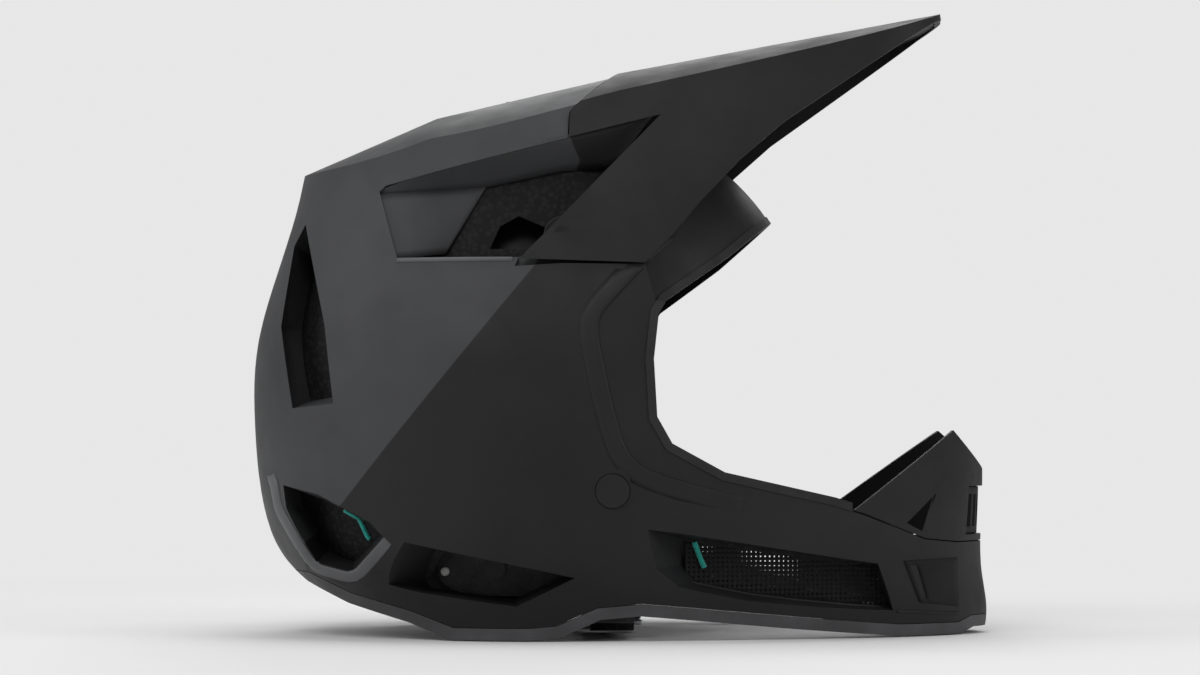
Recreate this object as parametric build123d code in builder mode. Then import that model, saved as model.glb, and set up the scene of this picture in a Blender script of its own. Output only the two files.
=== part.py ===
"""Full face helmet for downhill cycling, with a visor that tilts and cheek pads that unsnap.

Frame: +X is the wearer's front, +Y their left, +Z up. The origin is on the ground under the
middle of the helmet's outline. All sizes are in millimetres. Tables named shares hold side view
points as shares of HALF_LENGTH and CROWN_HEIGHT, unless a comment says otherwise.
"""

from build123d import *
import os
from math import copysign, cos, pi, radians, sin

os.makedirs("parts", exist_ok=True)

# Overall form of the shell
HALF_LENGTH = 180.0         # half of the length, back of the shell to the front of the nose guard
HALF_WIDTH = 122.0          # half of the width at the ears
CROWN_HEIGHT = 276.0        # ground to the roof line where the visor begins
ROOF_RADIUS = 220.0         # side to side curve of the roof
WIDEST_SHARE = -0.194       # where the plan outline is widest, of HALF_LENGTH
OVERRUN = 30.0              # how far a cut runs past what it cuts

# Walls and clearances
SHELL_WALL = 3.0
VENT_WALL = 2.5             # moulded walls of the vents in the shell
VISOR_WALL = 3.0
VISOR_RECESS = 4.0          # how deep the visor's seat lies in the shell
SEAT_GAP = 0.3              # between pieces that rest on each other

# Plan outlines of the envelope from the bottom up: height as a share of CROWN_HEIGHT, rear reach
# and front reach of HALF_LENGTH, half width of HALF_WIDTH, then the powers of its two curves
level_shares = (
    (-0.029, 0.777, 0.989, 0.840, 2.2, 1.80),
    (0.109, 0.889, 1.005, 0.950, 2.2, 1.85),
    (0.217, 0.977, 1.005, 1.000, 2.2, 1.90),
    (0.362, 1.005, 1.005, 1.000, 2.2, 1.95),
    (0.507, 1.000, 0.980, 0.970, 2.2, 2.10),
    (0.652, 0.941, 0.955, 0.885, 2.2, 2.50),
    (0.779, 0.883, 0.940, 0.790, 2.3, 3.00),
    (0.906, 0.850, 0.920, 0.680, 2.4, 3.30),
    (1.014, 0.833, 0.900, 0.580, 2.4, 3.50),
    (1.130, 0.833, 0.880, 0.500, 2.4, 3.50),
)
# The roof line in the middle plane
roof_shares = ((-1.056, 0.733), (-0.870, 0.819), (-0.500, 0.924), (0.0, 1.0), (1.060, 1.128))
# The forehead under the visor, part of an ellipsoid
DOME_X_SHARE = -0.278       # its centre and its rear end, of HALF_LENGTH
DOME_REAR_SHARE = -0.311
DOME_Z = 151.0
DOME_HALF_LENGTH = 141.5
DOME_HALF_WIDTH = 108.0
DOME_RISE = 113.0
OUTLINE_POINTS = 28

# Side view outlines
visor_seat_shares = (
    (-0.006, 1.004), (-0.133, 0.913), (-0.139, 0.851), (-0.275, 0.641), (-0.150, 0.646),
    (0.067, 0.645), (0.094, 0.580), (1.194, 0.507), (1.194, 1.232), (-0.006, 1.232),
)
eye_port_shares = (
    (0.422, 0.754), (0.278, 0.674), (0.107, 0.594), (0.081, 0.565), (0.067, 0.482), (0.076, 0.379),
    (0.121, 0.327), (0.267, 0.275), (0.564, 0.231), (0.648, 0.214), (0.822, 0.170), (0.917, 0.163),
    (1.194, 0.163), (1.194, 0.754),
)
ground_cut_shares = (
    (-1.194, 0.098), (-0.844, 0.091), (-0.728, 0.058), (-0.561, 0.029), (-0.444, 0.000),
    (-0.233, 0.000), (-0.156, 0.005), (-0.050, 0.036), (0.056, 0.042), (0.211, 0.033),
    (0.478, 0.016), (0.756, 0.000), (0.933, 0.000), (0.972, 0.011), (1.194, 0.011),
    (1.194, -0.109), (-1.194, -0.109),
)

# Openings and vents: where each leaning plane lies is a share of length, half width and height
upper_vent_shares = (
    (-0.622, 0.785), (0.111, 0.909), (-0.261, 0.656), (-0.587, 0.656), (-0.639, 0.775),
)
upper_vent_floor_shares = (
    (-0.367, 0.826), (0.067, 0.899), (-0.256, 0.670), (-0.478, 0.670), (-0.367, 0.793),
)
upper_vent_centre_shares = (-0.389, 0.713, 0.714)
UPPER_VENT_YAW = -8.0
UPPER_VENT_LEAN = 24.0
chin_vent_shares = (
    (0.050, 0.196), (0.689, 0.129), (0.739, 0.043), (0.333, 0.065), (0.133, 0.087), (0.072, 0.120),
)
chin_vent_floor_shares = (
    (0.200, 0.167), (0.672, 0.120), (0.700, 0.069), (0.367, 0.094), (0.244, 0.109), (0.200, 0.134),
)
chin_vent_centre_shares = (0.361, 0.795, 0.120)
CHIN_VENT_YAW = 24.0
CHIN_VENT_LEAN = -4.0
window_shares = (
    (-0.583, 0.172), (-0.109, 0.109), (-0.268, 0.058), (-0.522, 0.080), (-0.672, 0.094),
)
window_floor_shares = (
    (-0.456, 0.156), (-0.144, 0.109), (-0.278, 0.069), (-0.500, 0.087), (-0.511, 0.098),
)
window_centre_shares = (-0.390, 0.930, 0.120)
WINDOW_YAW = -10.0
WINDOW_LEAN = -20.0
rear_window_shares = (
    (-0.911, 0.268), (-0.800, 0.250), (-0.654, 0.203), (-0.620, 0.179), (-0.707, 0.116),
    (-0.806, 0.130), (-0.900, 0.225),
)
rear_window_floor_shares = (
    (-0.867, 0.254), (-0.789, 0.236), (-0.672, 0.196), (-0.644, 0.178), (-0.711, 0.138),
    (-0.789, 0.152), (-0.856, 0.225),
)
rear_window_centre_shares = (-0.760, 0.690, 0.190)
REAR_WINDOW_YAW = -42.0
REAR_WINDOW_LEAN = -18.0
rear_vent_shares = (
    (-0.850, 0.725), (-0.783, 0.543), (-0.756, 0.406), (-0.872, 0.399), (-0.911, 0.543),
    (-0.883, 0.688),
)
rear_vent_floor_shares = (
    (-0.822, 0.688), (-0.772, 0.543), (-0.756, 0.428), (-0.811, 0.420), (-0.844, 0.543),
    (-0.844, 0.674),
)
rear_vent_centre_shares = (-0.840, 0.500, 0.560)
REAR_VENT_YAW = -52.0
REAR_VENT_LEAN = 12.0
VENT_DEPTH = 18.0
VENT_TAPER = 1.3            # how much deeper the drawn-in part of a vent is made than its walls
upper_hole_shares = (
    (-0.344, 0.674), (-0.317, 0.714), (-0.267, 0.732), (-0.189, 0.710), (-0.222, 0.674),
)

# Visor, in side view, and the strip round its edge that laps over the shell as it tilts
visor_side_shares = (
    (-0.003, 1.051), (-0.003, 1.000), (-0.131, 0.913), (-0.134, 0.868), (0.111, 0.909),
    (-0.261, 0.654), (0.067, 0.647), (0.142, 0.698), (0.217, 0.757), (0.322, 0.830),
    (0.444, 0.899), (0.594, 0.967), (0.722, 1.025), (0.850, 1.083), (0.972, 1.130), (1.194, 1.196),
    (1.194, 1.250), (-0.003, 1.250),
)
visor_lap_shares = (
    (-0.017, 1.051), (-0.017, 1.000), (-0.144, 0.913), (-0.144, 0.848), (-0.272, 0.645),
    (0.089, 0.638), (0.094, 0.667), (-0.228, 0.674), (-0.067, 0.855), (-0.061, 0.899),
    (0.083, 1.000), (0.083, 1.051),
)
VISOR_PROUD = 1.5           # how far the visor stands out from the shell
PIVOT_X_SHARE = -0.150
PIVOT_Z_SHARE = 0.696
STUD_RADIUS = 4.0
STUD_REACH = 11.0           # from the face of the shell inwards
BUSH_WALL = 2.0
BUSH_FLANGE = 3.0
FLANGE_THICKNESS = 1.6

# Nose guard, drawn in side view and cut from the envelope's skin
guard_shares = (
    (0.622, 0.222), (0.906, 0.361), (1.006, 0.292), (1.056, 0.272), (1.056, 0.165), (0.917, 0.165),
    (0.822, 0.172), (0.649, 0.217),
)
guard_window_shares = (
    (0.853, 0.250), (0.769, 0.199), (0.817, 0.183),
)
GUARD_WALL = 7.0
mouth_shares = (0.27, 0.176, 0.262)     # its front opening: half width of HALF_WIDTH, foot and head
GRILLE_WALL = 3.0
GRILLE_DEPTH = 2.0
SLAT_COUNT = 9
SLAT_SHARE = 0.4            # how much of the grille's pitch a slat takes

# Trims
TRIM_WIDTH = 4.0
TRIM_PROUD = 0.6
TRIM_DEPTH = 6.0
TRIM_FRONT_SHARE = 0.617
BASE_TRIM_HEIGHT = 6.0

# Head cavity and what lines it
CAVITY_X_SHARE = -0.267
CAVITY_Z = 150.0
CAVITY_HALF_LENGTH = 102.0
CAVITY_HALF_WIDTH = 84.0
CAVITY_RISE = 86.0
SLIP_WALL = 0.9
COMFORT_WALL = 8.0
CHIN_FOAM = 20.0
liner_side_shares = (
    (0.378, 0.746), (0.067, 0.594), (0.039, 0.482), (0.044, 0.355), (-0.544, 0.355),
    (-0.589, 0.217), (-0.656, 0.123), (-0.850, 0.123), (-1.194, 0.130), (-1.194, 1.232),
    (1.194, 1.232), (1.194, 0.746),
)
cheek_side_shares = (
    (0.039, 0.353), (-0.541, 0.353), (-0.586, 0.217), (-0.622, 0.109), (-0.556, 0.065),
    (-0.222, 0.043), (0.039, 0.065),
)
chin_side_shares = (
    (0.047, 0.304), (0.222, 0.261), (0.564, 0.203), (0.644, 0.185), (0.822, 0.145), (1.111, 0.138),
    (1.111, 0.043), (0.333, 0.062), (0.047, 0.072),
)
comfort_side_shares = (
    (0.333, 0.870), (0.333, 0.688), (-0.056, 0.634), (-0.111, 0.406), (-0.667, 0.377),
    (-1.111, 0.377), (-1.111, 1.051), (0.333, 1.051),
)
pad_side_shares = (
    (0.167, 0.312), (0.100, 0.333), (-0.333, 0.333), (-0.400, 0.290), (-0.422, 0.145),
    (-0.333, 0.087), (0.056, 0.087), (0.189, 0.130), (0.211, 0.217),
)
PAD_THICKNESS = 25.0
PAD_ROUND = 6.0

comfort_slot_shares = (
    (0.189, 0.710), (-0.044, 0.659), (-0.078, 0.543), (-0.089, 0.710), (0.056, 0.746),
)
CROWN_SLOTS = 4
CROWN_SLOT_PITCH = 26.0
CROWN_SLOT_LENGTH = 110.0
CROWN_SLOT_WIDTH = 8.0
SNAP_RADIUS = 5.0
SNAP_LENGTH = 4.0
SNAP_PLATE = 2.0
SNAP_SLANT = 3.0            # what the curve of the cavity takes from a stud's seat
snap_places_shares = ((-0.370, 0.265), (-0.200, 0.150), (-0.330, 0.120))

# Neck roll
ROLL_RADIUS = 10.0
ROLL_Z = 46.0
ROLL_HALF_ANGLE = 56.0

# Chin strap and its rings
ANCHOR_X_SHARE = -0.019
ANCHOR_Z_SHARE = 0.257
ANCHOR_RADIUS = 8.0
ANCHOR_PROUD = 1.0
ANCHOR_SHANK_RADIUS = 2.5
ANCHOR_SHANK = 7.0
STRAP_WIDTH = 22.0
STRAP_THICKNESS = 1.6
STRAP_GAP = 0.4
STRAP_EXIT_Y = 87.0         # where a strap leaves the cheek foam
STRAP_EXIT_Z = 19.0
STRAP_BEND_Y = 64.0         # where it turns level
STRAP_LOW_Z = 7.0
STRAP_END_Y = 14.0
TAB_THICKNESS = 1.5
TAB_DROP = 16.0
RING_WIRE = 2.4
RING_WIDTH = 28.4
RING_REACH = 22.0
RING_Y = -14.0              # axis of the rings' bars
RING_SPACING = 4.8
LOOP_HEIGHT = 13.0
LOOP_DEPTH = 9.0
STRAP_PAD_LENGTH = 32.0
STRAP_PAD_THICKNESS = 9.0
STRAP_PAD_Y = 42.0
PRESS_RADIUS = 5.5
PRESS_THICKNESS = 1.4
PRESS_Y = 20.0
PIPING_RADIUS = 1.3


def at(shares):
    """Side view points from shares of the length and the height."""
    return [(x * HALF_LENGTH, z * CROWN_HEIGHT) for x, z in shares]


def outline(height, rear, front, half_width, rear_power, front_power):
    """A closed plan outline at one height: an egg made of two powered ovals."""
    widest = WIDEST_SHARE * HALF_LENGTH
    points = []
    for step in range(OUTLINE_POINTS):
        along = cos(2 * pi * step / OUTLINE_POINTS)
        across = sin(2 * pi * step / OUTLINE_POINTS)
        power = front_power if along >= 0 else rear_power
        reach = front - widest if along >= 0 else rear + widest
        x = widest + copysign(reach * abs(along) ** (2 / power), along)
        points.append((x, copysign(half_width * abs(across) ** (2 / power), across)))
    with BuildSketch(Plane.XY.offset(height)) as sketch:
        with BuildLine():
            Spline(*points, periodic=True)
        make_face()
    return sketch.sketch


def roof(inset):
    """Everything under the roof line, lowered by inset."""
    half_span = HALF_WIDTH + OVERRUN
    drop = ROOF_RADIUS - (ROOF_RADIUS**2 - half_span**2) ** 0.5
    with BuildPart() as body:
        for x, z in at(roof_shares):
            top = z - inset
            with BuildSketch(Plane.YZ.offset(x)):
                with BuildLine():
                    ThreePointArc((-half_span, top - drop), (0, top), (half_span, top - drop))
                    Polyline(
                        (half_span, top - drop), (half_span, -OVERRUN),
                        (-half_span, -OVERRUN), (-half_span, top - drop),
                    )
                make_face()
        loft(ruled=True)
    return body.part


def envelope(inset):
    """The whole outer form with every face moved in by inset."""
    with BuildPart() as body:
        for height, rear, front, width, rear_power, front_power in level_shares:
            add(outline(
                height * CROWN_HEIGHT, rear * HALF_LENGTH - inset, front * HALF_LENGTH - inset,
                width * HALF_WIDTH - inset, rear_power, front_power,
            ))
        loft()
        add(roof(inset), mode=Mode.INTERSECT)
    return body.part


def dome(inset):
    """The forehead and crown under the visor."""
    radii = (DOME_HALF_LENGTH - inset, DOME_HALF_WIDTH - inset, DOME_RISE - inset)
    with BuildPart() as body:
        ball = scale(Sphere(1, mode=Mode.PRIVATE), by=radii, mode=Mode.PRIVATE)
        with Locations((DOME_X_SHARE * HALF_LENGTH, 0, DOME_Z)):
            add(ball)
        with BuildSketch(Plane.YZ.offset(DOME_REAR_SHARE * HALF_LENGTH)):
            Rectangle(3 * CROWN_HEIGHT, 3 * CROWN_HEIGHT)
        extrude(amount=2 * HALF_LENGTH, mode=Mode.INTERSECT)
    return body.part


def side_prism(shares, growth=0.0):
    """A side view outline carried right across the helmet."""
    with BuildPart() as body:
        with BuildSketch(Plane.XZ):
            with BuildLine():
                Polyline(*at(shares), close=True)
            make_face()
            if growth:
                offset(amount=growth, kind=Kind.INTERSECTION)
        extrude(amount=HALF_WIDTH + OVERRUN, both=True)
    return body.part


def leaning_plane(centre_shares, yaw, lean, depth):
    """A plane laid on the right flank: yaw turns it to the front, lean turns it up."""
    x, y, z = centre_shares
    centre = Vector(x * HALF_LENGTH, -y * HALF_WIDTH, z * CROWN_HEIGHT)
    normal = Vector(
        sin(radians(yaw)) * cos(radians(lean)),
        -cos(radians(yaw)) * cos(radians(lean)),
        sin(radians(lean)),
    )
    return Plane(origin=centre - normal * depth, x_dir=(cos(radians(yaw)), sin(radians(yaw)), 0), z_dir=normal)


def outline_on(plane, shares):
    """Side view points carried along Y onto a leaning plane, in that plane's own axes."""
    points = []
    for x, z in at(shares):
        rise = plane.z_dir.X * (x - plane.origin.X) + plane.z_dir.Z * (z - plane.origin.Z)
        spot = plane.to_local_coords(Vector(x, plane.origin.Y - rise / plane.z_dir.Y, z))
        points.append((spot.X, spot.Y))
    return points


def funnel(outer_shares, inner_shares, centre_shares, yaw, lean, depth, growth=0.0):
    """A vent's space on both flanks: straight outside its leaning plane, drawn in below it."""
    with BuildPart() as body:
        planes = (
            leaning_plane(centre_shares, yaw, lean, 0),
            leaning_plane(centre_shares, yaw, lean, depth),
        )
        for plane, shares in zip(planes, (outer_shares, inner_shares)):
            with BuildSketch(plane):
                with BuildLine():
                    Polyline(*outline_on(plane, shares), close=True)
                make_face()
                if growth:
                    offset(amount=growth, kind=Kind.INTERSECTION)
        loft(ruled=True)
        with BuildSketch(planes[0]) as mouth:
            with BuildLine():
                Polyline(*outline_on(planes[0], outer_shares), close=True)
            make_face()
            if growth:
                offset(amount=growth, kind=Kind.INTERSECTION)
        extrude(amount=HALF_WIDTH, dir=(0, -1, 0))
        mirror(about=Plane.XZ)
    return body.part


def form(inset):
    """The shell's outer form, with the visor's seat, moved in by inset."""
    with BuildPart() as body:
        add(envelope(inset))
        add(side_prism(visor_seat_shares, inset), mode=Mode.SUBTRACT)
        add(dome(inset))
    return body.part


def shell_at(x_share, z_share, inset=0.0):
    """Half width of the envelope's skin at a side view point, by its own outline formula."""
    height = z_share
    low = max(row for row in level_shares if row[0] <= height)
    high = min(row for row in level_shares if row[0] > height)
    part = (height - low[0]) / (high[0] - low[0])
    rear, front, width, rear_power, front_power = (a + part * (b - a) for a, b in zip(low[1:], high[1:]))
    forward = x_share > WIDEST_SHARE
    power = front_power if forward else rear_power
    reach = (front - WIDEST_SHARE) if forward else (rear + WIDEST_SHARE)
    along = abs(x_share - WIDEST_SHARE) * HALF_LENGTH / (reach * HALF_LENGTH - inset)
    return (width * HALF_WIDTH - inset) * (1 - along**power) ** (1 / power)


def cavity(inset):
    """The space for the head, an oval column under half an ellipsoid, with its faces moved in."""
    half_length = CAVITY_HALF_LENGTH - inset
    half_width = CAVITY_HALF_WIDTH - inset
    radii = (half_length, half_width, CAVITY_RISE - inset)
    with BuildPart() as body:
        ball = scale(Sphere(1, mode=Mode.PRIVATE), by=radii, mode=Mode.PRIVATE)
        with Locations((CAVITY_X_SHARE * HALF_LENGTH, 0, CAVITY_Z)):
            add(ball)
        with BuildSketch(Plane.XY.offset(-OVERRUN)):
            with Locations((CAVITY_X_SHARE * HALF_LENGTH, 0)):
                Ellipse(half_length, half_width)
        extrude(amount=CAVITY_Z + OVERRUN)
    return body.part


def finish(piece, name):
    """Labels a finished piece and writes it to its own file."""
    piece.part.label = name
    export_step(piece.part, f"parts/{name}.step")


vents = (
    (upper_vent_shares, upper_vent_floor_shares, upper_vent_centre_shares, UPPER_VENT_YAW, UPPER_VENT_LEAN),
    (chin_vent_shares, chin_vent_floor_shares, chin_vent_centre_shares, CHIN_VENT_YAW, CHIN_VENT_LEAN),
    (window_shares, window_floor_shares, window_centre_shares, WINDOW_YAW, WINDOW_LEAN),
    (rear_window_shares, rear_window_floor_shares, rear_window_centre_shares, REAR_WINDOW_YAW, REAR_WINDOW_LEAN),
    (rear_vent_shares, rear_vent_floor_shares, rear_vent_centre_shares, REAR_VENT_YAW, REAR_VENT_LEAN),
)
skin = form(0)
lining = form(SHELL_WALL)
foam_face = form(SHELL_WALL + SEAT_GAP)
outside = envelope(0)
deep_face = envelope(VENT_DEPTH)
eye_port = side_prism(eye_port_shares)
pivot_x = PIVOT_X_SHARE * HALF_LENGTH
pivot_z = PIVOT_Z_SHARE * CROWN_HEIGHT
pivot_y = DOME_HALF_WIDTH * (
    1 - ((pivot_x - DOME_X_SHARE * HALF_LENGTH) / DOME_HALF_LENGTH) ** 2 - ((pivot_z - DOME_Z) / DOME_RISE) ** 2
) ** 0.5
anchor_x = ANCHOR_X_SHARE * HALF_LENGTH
anchor_z = ANCHOR_Z_SHARE * CROWN_HEIGHT
anchor_y = shell_at(ANCHOR_X_SHARE, ANCHOR_Z_SHARE)


def pegs(x, z, near, far, radius):
    """A round peg across each flank, between two distances from the middle."""
    with BuildPart() as body:
        with BuildSketch(Plane.XZ.offset(near)):
            with Locations((x, z)):
                Circle(radius)
        extrude(amount=far - near)
        mirror(about=Plane.XZ)
    return body.part


def one_side(side):
    """Everything on the left with side 1, or on the right with side -1."""
    with BuildPart() as body:
        with BuildSketch(Plane.XZ):
            Rectangle(4 * CROWN_HEIGHT, 4 * CROWN_HEIGHT)
        extrude(amount=-side * (HALF_WIDTH + OVERRUN))
    return body.part


bush_radius = STUD_RADIUS + BUSH_WALL
flange_radius = bush_radius + BUSH_FLANGE
fittings_holes = [
    pegs(pivot_x, pivot_z, pivot_y - 3 * SHELL_WALL, HALF_WIDTH, bush_radius + SEAT_GAP),
    pegs(pivot_x, pivot_z, pivot_y - FLANGE_THICKNESS / 2, HALF_WIDTH, flange_radius + SEAT_GAP),
    pegs(anchor_x, anchor_z, anchor_y - 3 * SHELL_WALL, anchor_y, ANCHOR_SHANK_RADIUS + SEAT_GAP),
    pegs(anchor_x, anchor_z, anchor_y - ANCHOR_PROUD, HALF_WIDTH + OVERRUN, ANCHOR_RADIUS + SEAT_GAP),
]
vent_spaces = [funnel(*vent, VENT_DEPTH * VENT_TAPER) for vent in vents]
with BuildPart() as vent_walls:
    for vent in vents:
        add(funnel(*vent, VENT_DEPTH * VENT_TAPER, VENT_WALL))
    add(skin, mode=Mode.INTERSECT)
    add(deep_face, mode=Mode.SUBTRACT)
with BuildPart() as outer_shell:
    add(skin)
    add(eye_port, mode=Mode.SUBTRACT)
    add(side_prism(ground_cut_shares, BASE_TRIM_HEIGHT), mode=Mode.SUBTRACT)
    add(lining, mode=Mode.SUBTRACT)
    add(vent_walls.part)
    add(vent_spaces + fittings_holes, mode=Mode.SUBTRACT)
finish(outer_shell, "outer_shell")

with BuildPart() as visor_lap:
    add(envelope(-SEAT_GAP))
    add(side_prism(visor_lap_shares), mode=Mode.INTERSECT)
with BuildPart() as visor:
    add(envelope(-VISOR_PROUD))
    add(side_prism(visor_side_shares), mode=Mode.INTERSECT)
    add([envelope(VISOR_WALL - VISOR_PROUD), visor_lap.part], mode=Mode.SUBTRACT)
    add(pegs(pivot_x, pivot_z, pivot_y - STUD_REACH, pivot_y + VISOR_RECESS * 1.6, STUD_RADIUS))
finish(visor, "visor")

with BuildPart() as visor_bushes:
    add(pegs(pivot_x, pivot_z, pivot_y - 2 * SHELL_WALL, pivot_y, bush_radius))
    add(pegs(
        pivot_x, pivot_z, pivot_y - FLANGE_THICKNESS / 2 + SEAT_GAP, pivot_y + SEAT_GAP, flange_radius
    ))
    add(pegs(pivot_x, pivot_z, pivot_y - 3 * SHELL_WALL, HALF_WIDTH, STUD_RADIUS + SEAT_GAP), mode=Mode.SUBTRACT)
finish(visor_bushes, "visor_bushes")

mouth_half, mouth_foot, mouth_head = mouth_shares
with BuildPart() as mouth:
    with BuildSketch(Plane.YZ.offset(HALF_LENGTH / 2)):
        with Locations((0, (mouth_foot + mouth_head) / 2 * CROWN_HEIGHT)):
            Rectangle(2 * mouth_half * HALF_WIDTH, (mouth_head - mouth_foot) * CROWN_HEIGHT)
    extrude(amount=HALF_LENGTH)
with BuildPart() as nose_guard:
    add(outside)
    add(side_prism(guard_shares), mode=Mode.INTERSECT)
    add(envelope(GUARD_WALL), mode=Mode.SUBTRACT)
    add(side_prism(guard_window_shares), mode=Mode.SUBTRACT)
    add(mouth.part, mode=Mode.SUBTRACT)
finish(nose_guard, "nose_guard")

slot_pitch = 2 * mouth_half * HALF_WIDTH / SLAT_COUNT
with BuildPart() as front_grille:
    with BuildSketch(Plane.YZ.offset(HALF_LENGTH / 2)):
        with Locations((0, (mouth_foot + mouth_head) / 2 * CROWN_HEIGHT)):
            Rectangle(
                2 * mouth_half * HALF_WIDTH - 2 * SEAT_GAP, (mouth_head - mouth_foot) * CROWN_HEIGHT - 2 * SEAT_GAP
            )
            with GridLocations(slot_pitch, 0, SLAT_COUNT - 1, 1):
                Rectangle(
                    (1 - SLAT_SHARE) * slot_pitch, (mouth_head - mouth_foot) * CROWN_HEIGHT - 4 * TRIM_WIDTH / 2,
                    mode=Mode.SUBTRACT,
                )
    extrude(amount=HALF_LENGTH)
    add(envelope(GRILLE_DEPTH), mode=Mode.INTERSECT)
    add(envelope(GRILLE_DEPTH + GRILLE_WALL), mode=Mode.SUBTRACT)
finish(front_grille, "front_grille")

with BuildPart() as eye_port_trim:
    add(form(-TRIM_PROUD))
    add(eye_port, mode=Mode.INTERSECT)
    add(side_prism(eye_port_shares, -TRIM_WIDTH), mode=Mode.SUBTRACT)
    add(form(TRIM_DEPTH), mode=Mode.SUBTRACT)
    with BuildSketch(Plane.YZ.offset(TRIM_FRONT_SHARE * HALF_LENGTH)):
        Rectangle(4 * CROWN_HEIGHT, 4 * CROWN_HEIGHT)
    extrude(amount=HALF_LENGTH, mode=Mode.SUBTRACT)
finish(eye_port_trim, "eye_port_trim")

with BuildPart() as base_trim:
    add(outside)
    add(side_prism(ground_cut_shares, BASE_TRIM_HEIGHT - SEAT_GAP), mode=Mode.INTERSECT)
    add(side_prism(ground_cut_shares), mode=Mode.SUBTRACT)
    add(envelope(TRIM_DEPTH), mode=Mode.SUBTRACT)
finish(base_trim, "base_trim")

# Space for the walls of the vents and for the fittings, cut from the foam
with BuildPart() as pockets:
    for vent in vents:
        add(funnel(*vent, VENT_DEPTH * VENT_TAPER, VENT_WALL + SEAT_GAP))
    add(envelope(VENT_DEPTH + SEAT_GAP), mode=Mode.SUBTRACT)
airways = [side_prism(upper_hole_shares), side_prism(chin_vent_floor_shares), side_prism(window_floor_shares)]


def strap_band(points, thickness, width):
    """A flat strap through points across the helmet, on the left: each a distance and a height."""
    with BuildPart() as body:
        with BuildSketch(Plane.YZ.offset(anchor_x - width / 2)):
            with BuildLine():
                Polyline(*points)
            trace(line_width=thickness)
        extrude(amount=width)
    return body.part


fittings = [
    pegs(pivot_x, pivot_z, pivot_y - STUD_REACH - SEAT_GAP, HALF_WIDTH, bush_radius + SEAT_GAP),
    pegs(pivot_x, pivot_z, pivot_y - FLANGE_THICKNESS, HALF_WIDTH, flange_radius + SEAT_GAP),
    pegs(anchor_x, anchor_z, anchor_y - ANCHOR_SHANK - SHELL_WALL, HALF_WIDTH, ANCHOR_RADIUS + 2 * SEAT_GAP),
]
with BuildPart() as eps_liner:
    add(foam_face)
    add(side_prism(liner_side_shares), mode=Mode.INTERSECT)
    add([cavity(0), pockets.part] + airways + fittings, mode=Mode.SUBTRACT)
finish(eps_liner, "eps_liner")

with BuildPart() as chin_foam:
    add(foam_face)
    add(side_prism(chin_side_shares), mode=Mode.INTERSECT)
    add([envelope(SHELL_WALL + CHIN_FOAM), pockets.part] + airways, mode=Mode.SUBTRACT)
finish(chin_foam, "eps_chin")

tab_y = anchor_y - ANCHOR_SHANK
strap_y = tab_y - TAB_THICKNESS / 2 - SEAT_GAP - STRAP_THICKNESS / 2
strap_points = (
    (strap_y, anchor_z + ANCHOR_RADIUS), (strap_y, anchor_z - TAB_DROP),
    (STRAP_EXIT_Y, STRAP_EXIT_Z), (STRAP_BEND_Y, STRAP_LOW_Z), (STRAP_END_Y, STRAP_LOW_Z),
)
tab_points = ((tab_y, anchor_z + ANCHOR_RADIUS), (tab_y, anchor_z - TAB_DROP))
tab_space = strap_band(tab_points, TAB_THICKNESS + 2 * SEAT_GAP, STRAP_WIDTH + 2 * STRAP_GAP)
slot = strap_band(strap_points, STRAP_THICKNESS + 2 * STRAP_GAP, STRAP_WIDTH + 2 * STRAP_GAP)
strap_spaces = [slot, mirror(slot, about=Plane.XZ), tab_space, mirror(tab_space, about=Plane.XZ)]


def cavity_y(x):
    """Half width of the cavity's column at a place along the helmet."""
    along = (x - CAVITY_X_SHARE * HALF_LENGTH) / CAVITY_HALF_LENGTH
    return CAVITY_HALF_WIDTH * (1 - along**2) ** 0.5


def snap_pegs(radius, reach_in, reach_out):
    """A peg at each snap, from reach_in inside the cavity's face to reach_out in the foam."""
    return [
        pegs(x, z, cavity_y(x) - reach_in, cavity_y(x) + reach_out, radius)
        for x, z in at(snap_places_shares)
    ]


stud_seats = snap_pegs(SNAP_RADIUS + SEAT_GAP, SNAP_LENGTH, SNAP_PLATE + SNAP_SLANT)
stud_spaces = snap_pegs(SNAP_RADIUS + SEAT_GAP, SNAP_LENGTH + SEAT_GAP, SNAP_SLANT)
with BuildPart() as cheek_foam:
    add(foam_face)
    add(side_prism(cheek_side_shares), mode=Mode.INTERSECT)
    add([cavity(0), pockets.part] + strap_spaces + airways + fittings + stud_seats, mode=Mode.SUBTRACT)
for side, name in ((1, "left"), (-1, "right")):
    with BuildPart() as eps_cheek:
        add(cheek_foam.part)
        add(one_side(side), mode=Mode.INTERSECT)
    finish(eps_cheek, f"eps_cheek_{name}")

with BuildPart() as slip_liner:
    add(cavity(SEAT_GAP))
    add(side_prism(comfort_side_shares), mode=Mode.INTERSECT)
    add(cavity(SEAT_GAP + SLIP_WALL), mode=Mode.SUBTRACT)
finish(slip_liner, "slip_liner")

comfort_inset = SEAT_GAP + SLIP_WALL + SEAT_GAP
with BuildPart() as comfort_liner:
    add(cavity(comfort_inset))
    add(side_prism(comfort_side_shares), mode=Mode.INTERSECT)
    add([cavity(comfort_inset + COMFORT_WALL), side_prism(comfort_slot_shares)], mode=Mode.SUBTRACT)
    with BuildSketch(Plane.XY.offset(CROWN_HEIGHT / 2)):
        with Locations((CAVITY_X_SHARE * HALF_LENGTH, 0)):
            with GridLocations(0, CROWN_SLOT_PITCH, 1, CROWN_SLOTS):
                SlotOverall(CROWN_SLOT_LENGTH, CROWN_SLOT_WIDTH)
    extrude(amount=CROWN_HEIGHT / 2, mode=Mode.SUBTRACT)
finish(comfort_liner, "comfort_liner")

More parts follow.
